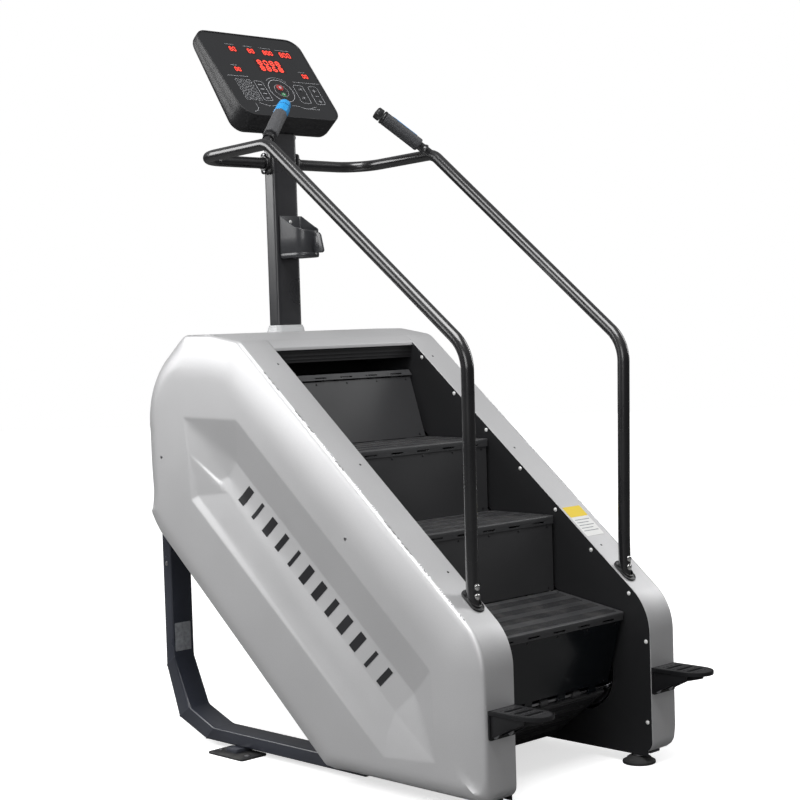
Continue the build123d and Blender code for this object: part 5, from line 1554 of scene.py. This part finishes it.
def add_leg(side, name):
    part = Part("leg_tube_" + name)
    x = side * LEG_X
    part.loft([leg_ring(x, *station) for station in leg_stations()], NAVY)
    # end plug at the rear of the beam
    part.prism(round_rect(66, 30, 5, 5, x, 1), elevation, 467.5, 471.2, TRIM, bevel=1.0)
    # floor pad on its spacer, with two screws; pad stations are inset, height v
    part.prism(round_rect(76, 45, 4, 4, side * 316.0, 980), row, -28.2, -17.6, NAVY, bevel=0.8)
    pad = ((1.0, -35), (0, -34.2), (0, -30.5), (0.9, -29.0), (3.2, -28.2), (7, -28.0))
    part.loft([level(round_rect(91.6 - 2 * inset, 149.6 - 2 * inset, max(2, 8 - inset), 7,
                                side * 338.0, 972), v) for inset, v in pad], RUBBER)
    for u in (915, 1030):
        part.cylinder(row(side * 350.0, u, -28.0), (0, 0, 1), 7.5, 2.2, GREY_SCREW, seg=20,
                      bevel=0.6, dome=0.8)
    # bolts on the outer face of the post
    for v in (560, 470):
        part.cylinder(row(side * 324.8, 1283.5, v), (side, 0, 0), 6.4, 1.4, GREY_SCREW,
                      seg=22, bevel=0.4, dome=0.6)
    part.done("machine", [name + "_leg"], "navy_metal", smooth=30)


def add_leg_plate():
    """Blank grey plate on the rear face of the left leg."""
    part = Part("spec_plate")
    part.prism(round_rect(56.0, 82, 3, 4, -290.0, 256), elevation, LEG_REAR - 0.75,
               LEG_REAR + 0.15, GREY_PLATE)
    part.done("machine", slot="silver_metal")


# foot: radius, height v
FOOT_PROFILE = [(41.5, -35), (43.2, -34.4), (43.8, -33), (43.8, -29), (43.2, -27.6),
                (41.0, -26.6), (35.5, -24.0), (31, -18.5), (26, -15.6), (17, -14.3)]
THREAD_PITCH, THREAD_TURNS, THREAD_FOOT = 1.5, 36, -9.0


def add_levelling_foot(side, name):
    part = Part("level_foot_" + name)
    x, u = side * 284.0, 60.0
    part.turned(x, u, FOOT_PROFILE, RUBBER, 48)
    start = Vector(row(x, u, FOOT_PROFILE[-1][1]))
    part.cylinder(start, (0, 0, 1), 15.5, 1.5, GREY_SCREW, seg=28, bevel=0.3)
    part.cylinder(start + Vector((0, 0, 0.0014)), (0, 0, 1), 14.2, 5.4, GREY_SCREW, seg=6,
                  bevel=1.0)
    # threaded stud
    thread = [(7.0, THREAD_FOOT)]
    for i in range(THREAD_TURNS):
        v = THREAD_FOOT + THREAD_PITCH * i
        thread += [(7.9, v + THREAD_PITCH / 2), (7.0, v + THREAD_PITCH)]
    part.turned(x, u, thread + [(6.4, 46)], GREY_SCREW, 20)
    part.done(name + "_levelling_foot", ["foot_" + name], "foot_rubber", smooth=40)


def add_flank_sticker():
    """White sticker on the right flank, with a yellow head and grey bars."""
    def on_flank(x, u, lift):
        return row(x, u - sin(FLANK_ANGLE) * lift, flank_v(u) + cos(FLANK_ANGLE) * lift)

    part = Part("flank_sticker")
    part.prism(round_rect(72, 86, 3, 4, 308, 250), on_flank, -0.3, 0.5, WHITE)
    part.prism(round_rect(72, 30, 2, 3, 308, 278), on_flank, 0.45, 0.75, YELLOW)
    for k in range(5):
        part.prism(rect(278, 338 - (k % 2) * 12, 255 - k * 8, 252.8 - k * 8), on_flank, 0.45,
                   0.62, GREY_PLATE)
    part.done("machine", slot="silver_metal")


# ------------------------------ carried-over nodes -------------------------
CARRIED_OVER = {
    "left_stair_panel": PANEL, "right_stair_panel": PANEL, "upper_gap_panel": PANEL,
    "main_frame": FRAME, "lower_shaft": STEEL, "upper_shaft": STEEL,
    "lower_sprockets": STEEL, "upper_sprockets": STEEL, "step_chains": STEEL,
    "step_pins_lift": STEEL, "step_pins_return": STEEL, "shaft_bearings": CAST,
    "chain_guides": NYLON, "drive_pulley": CAST, "brake_rotor": CAST,
    "brake_housing": CAST, "brake_belt": BELT}


def colour_carried_over():
    for name, mat in CARRIED_OVER.items():
        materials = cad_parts[name].data.materials
        materials.clear()
        materials.append(mat)


# ------------------------------ floor, light and camera (metres) -----------
CAMERA_PLACE = (-3.3060, -3.3261, 1.1843)
CAMERA_RIGHT = (0.71362, -0.69984, -0.03110)
CAMERA_FORWARD = (0.69843, 0.71421, -0.04573)
FLOOR_HALF = 16.0
FLOOR_DROP = 0.035              # floor below the shells' lower edge


def floor_material():
    """Near white to the camera and brighter far away; lights the machine as grey card."""
    white, grey = (0.83, 0.83, 0.83, 1.0), (0.2, 0.2, 0.2, 1.0)
    mat, tree, bsdf, coords = start_material("studio_floor", white[:3])
    set_surface(tree, bsdf, coords, noise(tree, coords, 6.0, 4.0), rough=0.75,
                rough_var=0.03, bump=0.02, bump_scale=60, spec=0.2)
    to_camera = add_node(tree, "LightPath").outputs["Is Camera Ray"]
    tree.links.new(mix_colour(tree, to_camera, grey, white), bsdf.inputs["Base Color"])
    position = add_node(tree, "NewGeometry").outputs["Position"]
    distance = add_node(tree, "VectorMath", {0: position}, operation="LENGTH")
    far_glow = map_range(tree, distance.outputs["Value"], (1.6, 4.5), (0.66, 1.0))
    glow = maths(tree, "MULTIPLY", to_camera, far_glow)
    emission = add_node(tree, "Emission", {1: glow})
    both = add_node(tree, "AddShader", {0: bsdf.outputs[0], 1: emission.outputs[0]})
    out = next(n for n in tree.nodes if n.type == "OUTPUT_MATERIAL")
    tree.links.new(both.outputs[0], out.inputs[0])
    return mat


def add_floor():
    """Flat grid, squared up to the camera's heading."""
    bm = bmesh.new()
    ahead = Vector((CAMERA_FORWARD[0], CAMERA_FORWARD[1], 0)).normalized()
    aside = Vector((ahead.y, -ahead.x, 0))
    height = Vector((0, 0, SHELL_LOW.z - FLOOR_DROP))
    rows = [[bm.verts.new(ahead * a + aside * b + height)
             for b in np.linspace(-FLOOR_HALF, FLOOR_HALF, 13)]
            for a in np.linspace(-FLOOR_HALF, FLOOR_HALF, 9)]
    for near, far in zip(rows, rows[1:]):
        for i in range(12):
            bm.faces.new([near[i], near[i + 1], far[i + 1], far[i]])
    bmesh.ops.recalc_face_normals(bm, faces=bm.faces)
    mesh_object(bm, "studio_sweep", [floor_material()])


def add_world():
    """White to the camera; a dim dome, darker below, for everything else."""
    world = bpy.data.worlds.new("studio")
    bpy.context.scene.world = world
    world.use_nodes = True
    tree = world.node_tree
    tree.nodes.clear()
    direction = add_node(tree, "TexCoord").outputs["Generated"]
    up = add_node(tree, "SeparateXYZ", {0: direction}).outputs[2]
    ramp = add_node(tree, "ValToRGB", {0: map_range(tree, up, (-1.0, 1.0), (0.0, 1.0))})
    low, high = ramp.color_ramp.elements
    low.position, low.color = 0.46, (0.05, 0.05, 0.052, 1)
    high.position, high.color = 0.82, (0.5, 0.5, 0.5, 1)
    dome = add_node(tree, "Background", {"Color": ramp.outputs[0], "Strength": 0.62})
    white = add_node(tree, "Background", {"Color": (1, 1, 1, 1), "Strength": 1.0})
    to_camera = add_node(tree, "LightPath").outputs["Is Camera Ray"]
    mixed = add_node(tree, "MixShader", {0: to_camera, 1: dome.outputs[0],
                                         2: white.outputs[0]})
    add_node(tree, "OutputWorld", {0: mixed.outputs[0]})


def add_area_light(name, place, target, width, height, power):
    light = bpy.data.lights.new(name, "AREA")
    light.shape = "RECTANGLE"
    light.size, light.size_y = width, height
    light.energy = power
    obj = bpy.data.objects.new(name, light)
    bpy.context.scene.collection.objects.link(obj)
    obj.location = place
    obj.rotation_euler = (Vector(target) - Vector(place)).to_track_quat("-Z", "Y").to_euler()


def add_lights():
    add_area_light("key_left", place=(-3.0, 2.7, 2.6), target=(-0.4, 0.1, 0.75),
                   width=3.2, height=1.9, power=122)
    add_area_light("top_soft", place=(-1.3, -1.0, 4.2), target=(0, 0.0, 0.7),
                   width=2.0, height=2.2, power=140)
    add_area_light("camera_low", place=(-3.4, -2.2, 1.9), target=(-0.3, 0, 0.7),
                   width=1.8, height=1.4, power=34)
    add_area_light("rim_right", place=(3.6, -1.2, 2.6), target=(0, 0, 1.0),
                   width=0.6, height=2.6, power=40)


def add_camera():
    camera = bpy.data.cameras.new("photo_view")
    camera.lens = 77.79
    camera.sensor_width = 36.0
    camera.clip_start, camera.clip_end = 0.05, 60.0
    obj = bpy.data.objects.new("photo_view", camera)
    bpy.context.scene.collection.objects.link(obj)
    right, forward = Vector(CAMERA_RIGHT).normalized(), Vector(CAMERA_FORWARD).normalized()
    up = right.cross(forward).normalized()
    obj.matrix_world = Matrix([*zip(right, up, -forward, CAMERA_PLACE), (0, 0, 0, 1)])
    bpy.context.scene.camera = obj
    bpy.context.scene.view_settings.view_transform = "Standard"


# ------------------------------ build --------------------------------------
def for_both_sides(build):
    for side, name in SIDES:
        build(side, name)


for_both_sides(add_shell)
for_both_sides(add_band_bars)
add_cowl()
add_front_cover()
add_mast_collar()
add_steps()
add_handrail()
for_both_sides(add_grip)
add_rail_boots()
add_panel_screws()
add_casing_screws()
add_mast()
add_bar_clamps()
add_console_case()
add_console_film()
for key in KEYS:
    add_key(key)
add_bottle_cup()
for_both_sides(add_foot_step)
for_both_sides(add_leg)
add_leg_plate()
for_both_sides(add_levelling_foot)
add_flank_sticker()
colour_carried_over()
add_floor()
add_world()
add_lights()
add_camera()
